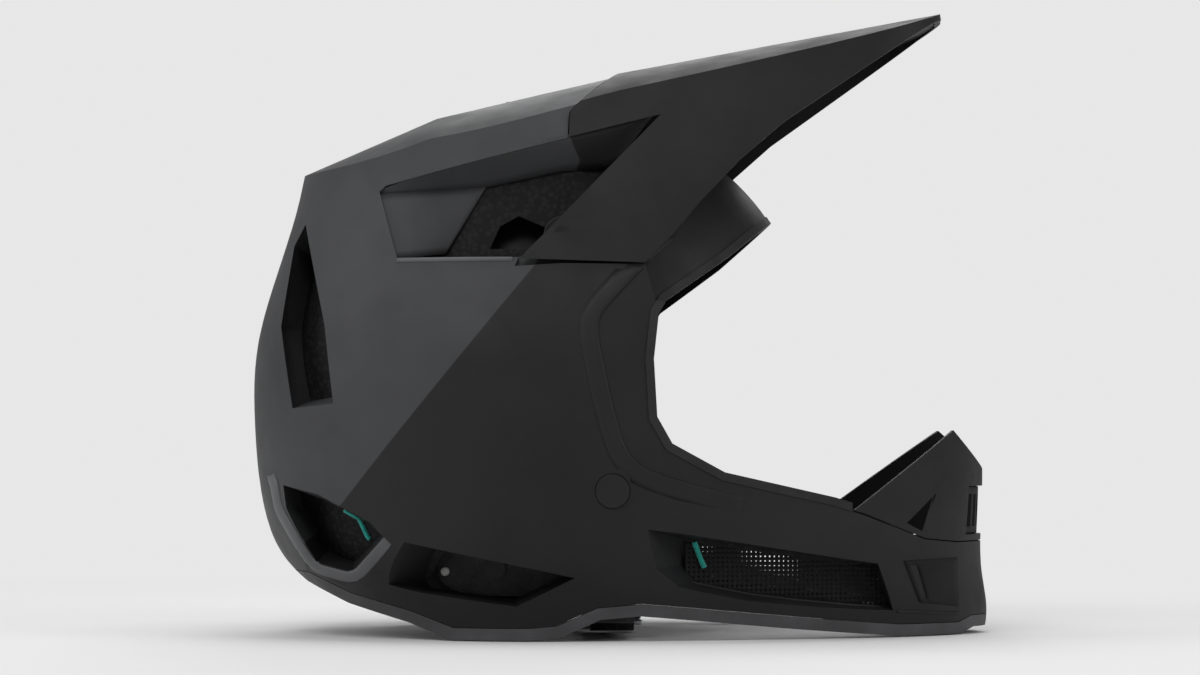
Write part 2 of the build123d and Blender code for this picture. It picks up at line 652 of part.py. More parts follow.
with BuildPart() as pads:
    add(cavity(SEAT_GAP))
    add(side_prism(pad_side_shares), mode=Mode.INTERSECT)
    with BuildSketch(Plane.XY.offset(-OVERRUN)):
        with Locations((CAVITY_X_SHARE * HALF_LENGTH, 0)):
            Ellipse(CAVITY_HALF_LENGTH + OVERRUN, CAVITY_HALF_WIDTH - PAD_THICKNESS)
    extrude(amount=CROWN_HEIGHT, mode=Mode.SUBTRACT)
    add(strap_spaces + stud_spaces, mode=Mode.SUBTRACT)
for side, name in ((1, "left"), (-1, "right")):
    with BuildPart() as cheek_pad:
        add(pads.part)
        add(one_side(side), mode=Mode.INTERSECT)
    finish(cheek_pad, f"cheek_pad_{name}")

with BuildPart() as cheek_pad_studs:
    for x, z in at(snap_places_shares):
        add(pegs(x, z, cavity_y(x) - SNAP_LENGTH, cavity_y(x) + SNAP_PLATE, SNAP_RADIUS))
finish(cheek_pad_studs, "cheek_pad_studs")

with BuildPart() as piping:
    front_edge = [(x, z) for x, z in at(pad_side_shares) if x > HALF_LENGTH / 10]
    with BuildLine() as edge:
        FilletPolyline(
            *[(x + PIPING_RADIUS + SEAT_GAP, cavity_y(x) - 2 * PIPING_RADIUS, z) for x, z in sorted(front_edge, key=lambda p: p[1])],
            radius=PAD_ROUND,
        )
    with BuildSketch(edge.line ^ 0):
        Circle(PIPING_RADIUS)
    sweep()
    mirror(about=Plane.XZ)
finish(piping, "cheek_pad_piping")

with BuildPart() as neck_roll:
    with BuildLine(Plane.XY.offset(ROLL_Z)) as roll_path:
        EllipticalCenterArc(
            (CAVITY_X_SHARE * HALF_LENGTH, 0), CAVITY_HALF_LENGTH - ROLL_RADIUS - SEAT_GAP,
            CAVITY_HALF_WIDTH - ROLL_RADIUS - SEAT_GAP, start_angle=180 - ROLL_HALF_ANGLE, arc_size=2 * ROLL_HALF_ANGLE,
        )
    with BuildSketch(roll_path.line ^ 0):
        Circle(ROLL_RADIUS)
    sweep()
finish(neck_roll, "neck_roll")

band = strap_band(strap_points, STRAP_THICKNESS, STRAP_WIDTH)
with BuildPart() as chin_strap_left:
    add(band)
finish(chin_strap_left, "chin_strap_left")

loop_y = RING_Y
with BuildPart() as chin_strap_right:
    add(mirror(band, about=Plane.XZ))
    with BuildSketch(Plane.YZ.offset(anchor_x - STRAP_WIDTH / 2)):
        with Locations((loop_y, STRAP_LOW_Z)):
            SlotOverall(LOOP_HEIGHT, LOOP_DEPTH, rotation=90)
    extrude(amount=STRAP_WIDTH)
    with BuildSketch(Plane.YZ.offset(anchor_x - STRAP_WIDTH / 2)):
        with Locations((loop_y, STRAP_LOW_Z)):
            SlotOverall(LOOP_HEIGHT - 2 * STRAP_THICKNESS, LOOP_DEPTH - 2 * STRAP_THICKNESS, rotation=90)
    extrude(amount=STRAP_WIDTH, mode=Mode.SUBTRACT)
finish(chin_strap_right, "chin_strap_right")

for level, name in ((-1, "lower"), (1, "upper")):
    with BuildPart() as d_ring:
        with BuildSketch(Plane.XY.offset(STRAP_LOW_Z + (level * RING_SPACING - RING_WIRE) / 2)):
            with BuildLine():
                low = (anchor_x - RING_WIDTH / 2, RING_Y - RING_WIRE / 2)
                high = (anchor_x + RING_WIDTH / 2, RING_Y - RING_WIRE / 2)
                Line(low, high)
                RadiusArc(high, low, RING_WIDTH / 2 * 1.06, short_sagitta=False)
            make_face()
            offset(amount=-RING_WIRE, mode=Mode.SUBTRACT)
        extrude(amount=RING_WIRE)
    finish(d_ring, f"d_ring_{name}")

with BuildPart() as strap_pad:
    with BuildSketch(Plane.XZ.offset(-STRAP_PAD_Y - STRAP_PAD_LENGTH / 2)):
        with Locations((anchor_x, STRAP_LOW_Z)):
            RectangleRounded(STRAP_WIDTH + STRAP_PAD_THICKNESS, STRAP_PAD_THICKNESS, STRAP_PAD_THICKNESS / 3)
            Rectangle(STRAP_WIDTH + 2 * SEAT_GAP, STRAP_THICKNESS + 2 * SEAT_GAP, mode=Mode.SUBTRACT)
    extrude(amount=STRAP_PAD_LENGTH)
finish(strap_pad, "strap_pad")

with BuildPart() as strap_press_studs:
    for y in (PRESS_Y, -2 * PRESS_Y):
        with BuildSketch(Plane.XY.offset(STRAP_LOW_Z + STRAP_THICKNESS / 2)):
            with Locations((anchor_x, y)):
                Circle(PRESS_RADIUS)
        extrude(amount=PRESS_THICKNESS)
finish(strap_press_studs, "strap_press_studs")

with BuildPart() as strap_anchors:
    add(pegs(anchor_x, anchor_z, anchor_y - ANCHOR_PROUD + SEAT_GAP, anchor_y + ANCHOR_PROUD, ANCHOR_RADIUS))
    add(pegs(anchor_x, anchor_z, tab_y, anchor_y, ANCHOR_SHANK_RADIUS))
    tab = strap_band(tab_points, TAB_THICKNESS, STRAP_WIDTH)
    add([tab, mirror(tab, about=Plane.XZ)])
finish(strap_anchors, "strap_anchors")
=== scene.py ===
from math import cos, pi, radians, sin

import bpy
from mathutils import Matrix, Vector
from mathutils.bvhtree import BVHTree


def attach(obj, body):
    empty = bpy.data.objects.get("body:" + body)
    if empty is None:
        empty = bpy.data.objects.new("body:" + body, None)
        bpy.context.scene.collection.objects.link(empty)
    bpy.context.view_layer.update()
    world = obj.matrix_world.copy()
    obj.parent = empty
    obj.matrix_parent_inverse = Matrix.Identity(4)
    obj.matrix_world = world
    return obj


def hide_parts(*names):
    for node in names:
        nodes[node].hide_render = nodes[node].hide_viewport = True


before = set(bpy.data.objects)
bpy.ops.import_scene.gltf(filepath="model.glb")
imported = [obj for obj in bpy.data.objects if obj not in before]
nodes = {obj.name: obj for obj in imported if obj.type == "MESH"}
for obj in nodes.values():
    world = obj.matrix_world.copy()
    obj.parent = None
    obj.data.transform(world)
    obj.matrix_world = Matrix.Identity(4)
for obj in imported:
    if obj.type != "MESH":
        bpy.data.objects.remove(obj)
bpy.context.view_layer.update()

MM = 0.001
SIDES = ((1, "left"), (-1, "right"))

# Sizes repeated from the part's source
CAVITY_X = -48.06 * MM
CAVITY_Z = 150 * MM
CAVITY_HALF_LENGTH = 102 * MM
CAVITY_HALF_WIDTH = 84 * MM
CAVITY_RISE = 86 * MM
ROLL_Z = 46 * MM
ROLL_RADIUS = 10 * MM
ROLL_HALF_ANGLE = 56
SEAT_GAP = 0.3 * MM
ANCHOR_X = -3.42 * MM
STRAP_WIDTH = 22 * MM
STRAP_THICKNESS = 1.6 * MM
STRAP_LOW_Z = 7 * MM
RING_Y = -14 * MM


# Camera, lamps and backdrop

LENS = 112.8
SENSOR_WIDTH = 36
CAMERA_PLACE = (-9.25 * MM, -1880 * MM, 93 * MM)
CAMERA_AIM = (-9.25 * MM, 0, 146.2 * MM)
CLIP_NEAR, CLIP_FAR = 0.05, 60
LAMP_AIM = (0, 0, 0.15)
LAMPS = (                   # name, place, size, watts
    ("key", (-0.6, -1.5, 1.7), (1.2, 0.8), 15),
    ("front", (1.9, -0.9, 0.9), (0.8, 1.2), 10),
    ("rear", (-1.8, -0.5, 0.9), (0.8, 1.2), 9),
    ("top", (0.1, 0.2, 1.9), (1.6, 1.0), 13),
    ("back", (0.3, 1.9, 1.2), (1.4, 0.8), 11),
)
AMBIENT = 0.34
BACKDROP = (0.80, 0.80, 0.80, 1)
WHITE = (1, 1, 1, 1)


def placed(name, data):
    """A new object round its data, in the scene."""
    obj = bpy.data.objects.new(name, data)
    bpy.context.scene.collection.objects.link(obj)
    return obj


def aimed(obj, place, aim):
    """Moves an object to a place and turns it to look at another."""
    obj.location = place
    obj.rotation_euler = (Vector(aim) - Vector(place)).to_track_quat("-Z", "Y").to_euler()


camera = placed("camera", bpy.data.cameras.new("camera"))
camera.data.lens = LENS
camera.data.sensor_width = SENSOR_WIDTH
camera.data.clip_start = CLIP_NEAR
camera.data.clip_end = CLIP_FAR
aimed(camera, CAMERA_PLACE, CAMERA_AIM)
bpy.context.scene.camera = camera
bpy.context.scene.view_settings.view_transform = "Standard"

for name, place, size, watts in LAMPS:
    lamp = placed(name, bpy.data.lights.new(name, "AREA"))
    lamp.data.shape = "RECTANGLE"
    lamp.data.size, lamp.data.size_y = size
    lamp.data.energy = watts
    aimed(lamp, place, LAMP_AIM)

# The world lights the part softly, and shows the backdrop's colour behind it
world = bpy.data.worlds.new("world")
bpy.context.scene.world = world
world.use_nodes = True
tree = world.node_tree
tree.nodes.clear()
world_out = tree.nodes.new("ShaderNodeOutputWorld")
light_path = tree.nodes.new("ShaderNodeLightPath")
ambient = tree.nodes.new("ShaderNodeBackground")
ambient.inputs["Color"].default_value = WHITE
ambient.inputs["Strength"].default_value = AMBIENT
seen = tree.nodes.new("ShaderNodeBackground")
seen.inputs["Color"].default_value = BACKDROP
seen.inputs["Strength"].default_value = 1.0
mix = tree.nodes.new("ShaderNodeMixShader")
tree.links.new(light_path.outputs["Is Camera Ray"], mix.inputs["Fac"])
tree.links.new(ambient.outputs[0], mix.inputs[1])
tree.links.new(seen.outputs[0], mix.inputs[2])
tree.links.new(mix.outputs[0], world_out.inputs["Surface"])


# Materials. A noise is given by its scale and detail, and a range says which part of a value
# between 0 and 1 becomes the whole change.

TONE_RANGE = (0.35, 0.7)
POLISH_RANGE = (0.3, 0.75)
STREAK_RANGE = (0.3, 0.7)
TONE_NOISE = (18, 4)
POLISH_NOISE = (45, 5)
NOISE_ROUGHNESS = 0.55


class Shader:
    """A node material under construction, around one Principled shader."""

    def __init__(self, name, rough=0.5, metal=0.0, **sockets):
        self.material = bpy.data.materials.new(name)
        self.material.use_nodes = True
        self.tree = self.material.node_tree
        self.tree.nodes.clear()
        self.out = self.new("ShaderNodeOutputMaterial")
        self.principled = self.new("ShaderNodeBsdfPrincipled")
        self.link(self.principled.outputs[0], self.out.inputs["Surface"])
        self.principled.inputs["Roughness"].default_value = rough
        self.principled.inputs["Metallic"].default_value = metal
        for socket, value in sockets.items():
            self.principled.inputs[socket.replace("_", " ")].default_value = value
        self.normal = None
        self.place = self.new("ShaderNodeTexCoord").outputs["Object"]

    def new(self, kind, **settings):
        node = self.tree.nodes.new(kind)
        for setting, value in settings.items():
            setattr(node, setting, value)
        return node

    def link(self, source, target):
        self.tree.links.new(source, target)

    def math(self, operation, *operands):
        """A sum of sockets and numbers."""
        node = self.new("ShaderNodeMath", operation=operation)
        for value, socket in zip(operands, node.inputs):
            if isinstance(value, (int, float)):
                socket.default_value = value
            else:
                self.link(value, socket)
        return node.outputs[0]

    def spread(self, value, low, high, to_low=0.0, to_high=1.0, kind="SMOOTHSTEP"):
        """A value carried from one range to another, and held at the ends."""
        node = self.new("ShaderNodeMapRange", clamp=True, interpolation_type=kind)
        self.link(value, node.inputs["Value"])
        node.inputs["From Min"].default_value = low
        node.inputs["From Max"].default_value = high
        node.inputs["To Min"].default_value = to_low
        node.inputs["To Max"].default_value = to_high
        return node.outputs["Result"]

    def noise(self, scale, detail, place=None):
        node = self.new("ShaderNodeTexNoise")
        node.inputs["Scale"].default_value = scale
        node.inputs["Detail"].default_value = detail
        node.inputs["Roughness"].default_value = NOISE_ROUGHNESS
        self.link(place or self.place, node.inputs["Vector"])
        return node.outputs["Fac"]

    def cells(self, scale, feature="F1", randomness=1.0):
        """The outputs of a pattern of round cells."""
        node = self.new("ShaderNodeTexVoronoi", feature=feature)
        node.inputs["Scale"].default_value = scale
        node.inputs["Randomness"].default_value = randomness
        self.link(self.place, node.inputs["Vector"])
        return node.outputs

    def split(self, socket, kind="ShaderNodeSeparateXYZ"):
        """The three parts of a vector or a colour."""
        node = self.new(kind)
        self.link(socket, node.inputs[0])
        return node.outputs

    def blend(self, amount, a, b):
        """A colour between a and b, each a colour or a socket."""
        node = self.new("ShaderNodeMix", data_type="RGBA")
        self.link(amount, node.inputs["Factor"])
        for value, socket in ((a, node.inputs[6]), (b, node.inputs[7])):
            if isinstance(value, tuple):
                socket.default_value = (*value, 1)
            else:
                self.link(value, socket)
        return node.outputs[2]

    def colour(self, socket):
        self.link(socket, self.principled.inputs["Base Color"])

    def rough(self, socket):
        self.link(socket, self.principled.inputs["Roughness"])

    def bump(self, value, depth, strength):
        """Adds a layer of relief, depth metres from its low to its high."""
        node = self.new("ShaderNodeBump")
        node.inputs["Strength"].default_value = strength
        node.inputs["Distance"].default_value = depth
        self.link(value, node.inputs["Height"])
        if self.normal is not None:
            self.link(self.normal, node.inputs["Normal"])
        self.normal = node.outputs["Normal"]
        self.link(self.normal, self.principled.inputs["Normal"])

    def curve(self, value, points, low, high):
        """A number read off a curve through points, value running from low to high."""
        node = self.new("ShaderNodeFloatCurve")
        curve = node.mapping.curves[0]
        pairs = [((a - low) / (high - low), b) for a, b in points]
        curve.points[0].location = pairs[0]
        curve.points[1].location = pairs[-1]
        for pair in pairs[1:-1]:
            curve.points.new(*pair)
        for point in curve.points:
            point.handle_type = "VECTOR"
        node.mapping.update()
        self.link(self.spread(value, low, high, kind="LINEAR"), node.inputs["Value"])
        return node.outputs["Value"]


def shade(colour, factor):
    """A colour made lighter or darker."""
    return tuple(min(1.0, c * factor) for c in colour)


def moulded(name, colour, rough, grain=0.04 * MM, lighter=1.35):
    """Moulded plastic: fine grain, faint unevenness, polish that varies."""
    s = Shader(name, rough=rough, Specular_IOR_Level=0.2)
    s.colour(s.blend(s.spread(s.noise(*TONE_NOISE), *TONE_RANGE), colour, shade(colour, lighter)))
    duller, shinier = rough + 0.08, rough - 0.05
    s.rough(s.spread(s.noise(*POLISH_NOISE), *POLISH_RANGE, shinier, duller))
    s.bump(s.noise(scale=900, detail=2), depth=grain, strength=0.6)
    return s.material


# The line on each flank where the two paints meet: height, and how far forward on PAINT_LINE_X
PAINT_LINE = (
    (0.0, 0.02), (0.045, 0.02), (0.0654, 0.124), (0.0936, 0.2371), (0.1774, 0.580), (0.229, 0.686),
    (0.242, 0.6565), (0.250, 0.6565), (0.2596, 0.707), (0.270, 0.775), (0.3, 0.90),
)
PAINT_LINE_TOP = 0.3
PAINT_LINE_X, PAINT_LINE_REACH = -0.156, 0.2
PAINT_EDGE = 0.5 * MM
GRAPHITE = ((0.038, 0.039, 0.041), (0.049, 0.050, 0.053))
BLACK = ((0.0095, 0.0095, 0.0102), (0.0135, 0.0135, 0.0145))


def painted_shell():
    """Two matt paints that meet on a line down each flank: graphite behind, black in front."""
    s = Shader("shell_paint", rough=0.48, Specular_IOR_Level=0.22, Coat_Weight=0.03, Coat_Roughness=0.4)
    x, _, z = s.split(s.place)
    border = s.curve(z, PAINT_LINE, 0.0, PAINT_LINE_TOP)
    border = s.math("MULTIPLY_ADD", border, PAINT_LINE_REACH, PAINT_LINE_X)
    front = s.spread(s.math("SUBTRACT", x, border), -PAINT_EDGE, PAINT_EDGE)
    cloud = s.spread(s.noise(scale=14, detail=4), *TONE_RANGE)
    s.colour(s.blend(front, s.blend(cloud, *GRAPHITE), s.blend(cloud, *BLACK)))
    s.rough(s.spread(s.noise(*POLISH_NOISE), *POLISH_RANGE, to_low=0.50, to_high=0.62))
    s.bump(s.noise(scale=700, detail=2), depth=0.03 * MM, strength=0.5)
    return s.material


BEADS_PER_METRE = 340


def beaded_foam(name, colour):
    """Expanded foam: packed beads, each with its own tone."""
    s = Shader(name, rough=0.78, Specular_IOR_Level=0.2)
    cells = s.cells(BEADS_PER_METRE)
    tone = s.split(cells["Color"], "ShaderNodeSeparateColor")[0]
    body = s.blend(tone, colour, shade(colour, 1.35))
    # Darker towards each bead's edge, where the relief sinks: painted shade in the gaps between beads
    s.colour(s.blend(s.spread(cells["Distance"], 0.35, 0.62), body, shade(colour, 0.65)))
    s.bump(s.spread(cells["Distance"], 0.0, 0.7, 1.0, 0.0), depth=0.6 * MM, strength=0.6)
    s.bump(s.noise(scale=1500, detail=2), depth=0.05 * MM, strength=0.5)
    return s.material


def knitted(name, colour, pitch=1.3 * MM, light=1.8):
    """Brushed knit over foam: rows of small loops and a soft nap."""
    s = Shader(name, rough=0.88, Sheen_Weight=0.35, Sheen_Roughness=0.45)
    loops = s.cells(1 / pitch, "SMOOTH_F1", randomness=0.35)["Distance"]
    cloud = s.spread(s.noise(scale=60, detail=4), *TONE_RANGE)
    body = s.blend(cloud, colour, shade(colour, light))
    # Darker between the loops, where the relief sinks: painted shade in the gaps
    s.colour(s.blend(s.spread(loops, 0.35, 0.75), body, shade(colour, 0.5)))
    s.bump(s.spread(loops, 0.0, 0.7, 1.0, 0.0), depth=0.25 * MM, strength=0.8)
    s.bump(s.noise(scale=2500, detail=2), depth=0.1 * MM, strength=0.5)
    return s.material


RIB_PITCH = 1.6 * MM
HERRINGBONE_PITCH, HERRINGBONE_SLANT = 5.5 * MM, 3.4


def woven(name, colour):
    """Webbing: ribs across the strap in a herringbone, laid by the strap's own length and width."""
    s = Shader(name, rough=0.8, Sheen_Weight=0.2, Sheen_Roughness=0.4)
    along, across, _ = s.split(s.new("ShaderNodeUVMap").outputs["UV"])
    row = s.math("FRACT", s.math("MULTIPLY", across, 1 / HERRINGBONE_PITCH))
    slant = s.math("MULTIPLY", s.math("ABSOLUTE", s.math("SUBTRACT", row, 0.5)), HERRINGBONE_SLANT)
    phase = s.math("ADD", s.math("MULTIPLY", along, 1 / RIB_PITCH), slant)
    yarn = s.spread(s.math("SINE", s.math("MULTIPLY", phase, 2 * pi)), -1, 1)
    # Lighter on the ribs' crests and darker in their grooves, as the relief runs: painted highlight and
    # shade
    s.colour(s.blend(yarn, colour, shade(colour, 2.2)))
    s.bump(yarn, depth=0.3 * MM, strength=0.8)
    s.bump(s.noise(scale=2200, detail=2), depth=0.08 * MM, strength=0.5)
    return s.material


def rubber(name, colour):
    """Moulded rubber: fine grain and an uneven polish."""
    s = Shader(name, rough=0.62, Specular_IOR_Level=0.3)
    cloud = s.spread(s.noise(scale=40, detail=4), *POLISH_RANGE)
    s.colour(s.blend(cloud, colour, shade(colour, 1.5)))
    s.rough(s.spread(s.noise(scale=90, detail=4), *STREAK_RANGE, to_low=0.55, to_high=0.7))
    s.bump(s.noise(scale=1100, detail=2), depth=0.05 * MM, strength=0.6)
    return s.material


STREAK_STRETCH = (1.0, 14.0, 14.0)      # draws the streaks out along X


def satin_steel(name, colour):
    """Brushed metal."""
    s = Shader(name, rough=0.32, metal=1.0)
    stretched = s.new("ShaderNodeMapping")
    stretched.inputs["Scale"].default_value = STREAK_STRETCH
    s.link(s.place, stretched.inputs["Vector"])
    streaks = s.noise(scale=160, detail=4, place=stretched.outputs[0])
    s.colour(s.blend(s.spread(streaks, *STREAK_RANGE), colour, shade(colour, 1.25)))
    s.rough(s.spread(streaks, *STREAK_RANGE, to_low=0.26, to_high=0.42))
    s.bump(streaks, depth=0.03 * MM, strength=0.5)
    return s.material


shell_paint = painted_shell()
visor_black = moulded("visor_black", (0.010, 0.010, 0.011), 0.55)
guard_black = moulded("guard_black", (0.012, 0.012, 0.013), 0.55, grain=0.06 * MM)
grille_black = moulded("grille_black", (0.006, 0.006, 0.007), 0.65)
bush_black = moulded("bush_black", (0.012, 0.012, 0.013), 0.45)
# Rubber base trim; its grey, lighter than the shell's black, is painted highlight for the light the
# upward-facing lip catches
highlight_trim_rubber = rubber("highlight_trim_rubber", (0.052, 0.052, 0.055))
port_rubber = rubber("port_rubber", (0.012, 0.012, 0.013))
liner_foam = beaded_foam("liner_foam", (0.011, 0.011, 0.012))
slip_sheet = moulded("slip_sheet", (0.006, 0.006, 0.007), 0.5, grain=0.02 * MM)
cap_white = moulded("cap_white", (0.50, 0.50, 0.49), 0.4, grain=0.02 * MM, lighter=1.1)
frame_grey = moulded("frame_grey", (0.085, 0.086, 0.090), 0.45, grain=0.03 * MM)
pad_knit = knitted("pad_knit", (0.022, 0.022, 0.024))
brow_knit = knitted("brow_knit", (0.030, 0.030, 0.033), pitch=1.8 * MM)
# Teal of the piping: painted glint, standing in for teal glints of light inside the helmet
glint_teal_piping = knitted("glint_teal_piping", (0.012, 0.30, 0.25), pitch=0.9 * MM, light=1.3)
strap_weave = woven("strap_weave", (0.016, 0.016, 0.018))
ring_steel = satin_steel("ring_steel", (0.45, 0.45, 0.47))

# The finish of each CAD node that stays in view: its material and how far its edges are softened
SMALL_EDGE = 0.5 * MM
finishes = {
    "outer_shell": (shell_paint, 1.0 * MM), "visor": (visor_black, 0.9 * MM),
    "nose_guard": (guard_black, 1.2 * MM), "front_grille": (grille_black, SMALL_EDGE),
    "visor_bushes": (bush_black, SMALL_EDGE), "cheek_pad_studs": (bush_black, SMALL_EDGE),
    "strap_press_studs": (bush_black, SMALL_EDGE), "eye_port_trim": (port_rubber, 1.0 * MM),
    "base_trim": (highlight_trim_rubber, 1.2 * MM), "eps_liner": (liner_foam, SMALL_EDGE),
    "eps_chin": (liner_foam, SMALL_EDGE), "eps_cheek_left": (liner_foam, SMALL_EDGE),
    "eps_cheek_right": (liner_foam, SMALL_EDGE), "slip_liner": (slip_sheet, SMALL_EDGE),
    "d_ring_upper": (ring_steel, SMALL_EDGE), "d_ring_lower": (ring_steel, SMALL_EDGE),
    "strap_anchors": (bush_black, SMALL_EDGE),
}
WELD_REACH = 0.01 * MM
EDGE_ANGLE = radians(32)
EDGE_SEGMENTS = 2


def dress(obj, material, width):
    """A CAD node's finish: its material, softened edges and normals that follow its faces."""
    for slot in obj.material_slots:
        slot.material = material
    if not obj.material_slots:
        obj.data.materials.append(material)
    obj.modifiers.new("weld", "WELD").merge_threshold = WELD_REACH
    bevel = obj.modifiers.new("edges", "BEVEL")
    bevel.width = width
    bevel.segments = EDGE_SEGMENTS
    bevel.limit_method = "ANGLE"
    bevel.angle_limit = EDGE_ANGLE
    bevel.use_clamp_overlap = True
    bevel.harden_normals = False
    obj.modifiers.new("normals", "WEIGHTED_NORMAL").keep_sharp = True
    for polygon in obj.data.polygons:
        polygon.use_smooth = True


for node, (material, width) in finishes.items():
    dress(nodes[node], material, width)


# Building blocks of the scene's own pieces

def mesh_piece(name, points, faces, material, uvs=None):
    """A smooth shaded piece that moves with the helmet."""
    data = bpy.data.meshes.new(name)
    data.from_pydata([tuple(p) for p in points], [], faces)
    data.validate()
    if uvs is not None:
        layer = data.uv_layers.new(name="UVMap")
        for loop in data.loops:
            layer.data[loop.index].uv = uvs[loop.vertex_index]
    for polygon in data.polygons:
        polygon.use_smooth = True
    data.materials.append(material)
    obj = placed(name, data)
    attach(obj, "helmet")
    return obj


def joined(first, second, count):
    """Faces between two rings of count points, given by the rings' first points."""
    steps = [(step, (step + 1) % count) for step in range(count)]
    return [(first + a, first + b, second + b, second + a) for a, b in steps]


def fan(first, tip, count):
    """Faces between a ring of count points and one point."""
    return [(first + step, first + (step + 1) % count, tip) for step in range(count)]


def turned(faces):
    return [face[::-1] for face in faces]


def lofted(rings, count, closed=False):
    """Faces through rings of count points each, capped at both ends or closed into a loop."""
    faces = []
    for ring in range(rings if closed else rings - 1):
        faces += joined(ring * count, (ring + 1) % rings * count, count)
    if not closed:
        faces.append(tuple(range(count))[::-1])
        faces.append(tuple(range((rings - 1) * count, rings * count)))
    return faces


def softened(line, passes):
    """A line of points with its corners eased by averaging, its ends held."""
    for _ in range(passes):
        inner = [(p + q * 2 + r) / 4 for p, q, r in zip(line, line[1:], line[2:])]
        line = [line[0]] + inner + [line[-1]]
    return line


def between(a, b, share):
    """The point a share of the way from one point to another."""
    return tuple(p + (q - p) * share for p, q in zip(a, b))


def dense_line(points, parts):
    """A line with each of its stretches cut into parts."""
    out = []
    for a, b in zip(points, points[1:]):
        out += [between(a, b, part / parts) for part in range(parts)]
    return out + [points[-1]]


UPRIGHT = 0.01      # the sine from the vertical below which a path counts as upright


def tube(name, path, radii, material, around):
    """A tube along a path, with a radius for each point of it."""
    points = []
    for index, spot in enumerate(path):
        ahead = path[min(index + 1, len(path) - 1)] - path[max(index - 1, 0)]
        ahead.normalize()
        across = ahead.cross(Vector((0, 0, 1)))
        if across.length < UPRIGHT:
            across = ahead.cross(Vector((0, 1, 0)))
        across.normalize()
        rise = across.cross(ahead)
        for step in range(around):
            turn = 2 * pi * step / around
            points.append(spot + (across * cos(turn) + rise * sin(turn)) * radii[index])
    return mesh_piece(name, points, lofted(len(path), around), material)


def skin(name, loops, material, side):
    """A closed form lofted through loops of points."""
    faces = lofted(len(loops), len(loops[0]))
    points = [point for loop in loops for point in loop]
    return mesh_piece(name, points, turned(faces) if side < 0 else faces, material)


def rounded(turn, power):
    """A point on a square with rounded corners, from -1 to 1 each way."""
    c, s = cos(turn), sin(turn)
    reach = (abs(c) ** power + abs(s) ** power) ** (-1 / power)
    return c * reach, s * reach


# Crown padding, on the walls of the head's space

def cavity_sizes(inset):
    """The half length, half width and rise of the head's space, drawn in by an inset."""
    return (half - inset for half in (CAVITY_HALF_LENGTH, CAVITY_HALF_WIDTH, CAVITY_RISE))


def cavity_wall(turn, height, inset):
    """A point on the head cavity's wall and its inward normal. turn is 0 at the front."""
    a, b, c = cavity_sizes(inset)
    if height <= CAVITY_Z:
        spot = Vector((CAVITY_X + a * cos(turn), b * sin(turn), height))
        return spot, -Vector((cos(turn) / a, sin(turn) / b, 0)).normalized()
    lift = (height - CAVITY_Z) / c
    ring = (1 - lift * lift) ** 0.5
    spot = Vector((CAVITY_X + a * ring * cos(turn), b * ring * sin(turn), height))
    return spot, -Vector((ring * cos(turn) / a, ring * sin(turn) / b, lift / c)).normalized()


def crown_wall(x, y, inset):
    """A point on the cavity's crown straight over a place in plan, and its inward normal."""
    a, b, c = cavity_sizes(inset)
    along, aside = (x - CAVITY_X) / a, y / b
    lift = (1 - along**2 - aside**2) ** 0.5
    return Vector((x, y, CAVITY_Z + c * lift)), -Vector((along / a, aside / b, lift / c)).normalized()


def band_chart(turn_low, turn_high, low, high):
    """A chart of a band round the wall, between two turns in degrees and two heights."""
    turn_low, turn_high = radians(turn_low), radians(turn_high)

    def chart(s, w):
        turn = (turn_low + turn_high) / 2 + s * (turn_high - turn_low) / 2
        height = (low + high) / 2 + w * (high - low) / 2
        return cavity_wall(turn, height, LINER_INSET)
    return chart


def strip_chart(x_low, x_high, y):
    """A chart of a strip along the crown."""
    def chart(s, w):
        x = (x_low + x_high) / 2 + s * (x_high - x_low) / 2
        return crown_wall(x, y + w * STRIP_HALF, LINER_INSET)
    return chart


LINER_INSET = 1.5 * MM      # from the cavity's wall to the back of the pads
STRIP_HALF = 8.6 * MM
PAD_THICK = 7.6 * MM
NAPE_THICK = 7.8 * MM
PAD_EDGE = 1.2 * MM         # thickness of a pad's sewn edge
PAD_FULLNESS = 2.6
PAD_RINGS = 9
PAD_BACK = ((1.0, 0.25), (0.93, 0.0), (0.0, 0.0))   # share of the outline, and of the edge's thickness
CHANNEL_SHARE = 0.45        # what a sewn channel leaves of a pad's swell
STRIP_CHANNELS = ((-0.5, 0.05), (0.0, 0.05), (0.5, 0.05))       # place and half width, along a pad
NAPE_CHANNELS = ((0.0, 0.04), (-0.5, 0.04), (0.5, 0.04))
CROWN_STRIPS = ((0, -128, 28), (26, -122, 22), (-26, -122, 22), (50, -104, 6), (-50, -104, 6))
BROW_BAND = (-50, 50, 189 * MM, 208 * MM)
NAPE_BAND = (128, 232, 110 * MM, 160 * MM)
SIDE_TURNS = (78, 122)
SIDE_HEIGHTS = (116 * MM, 186 * MM)


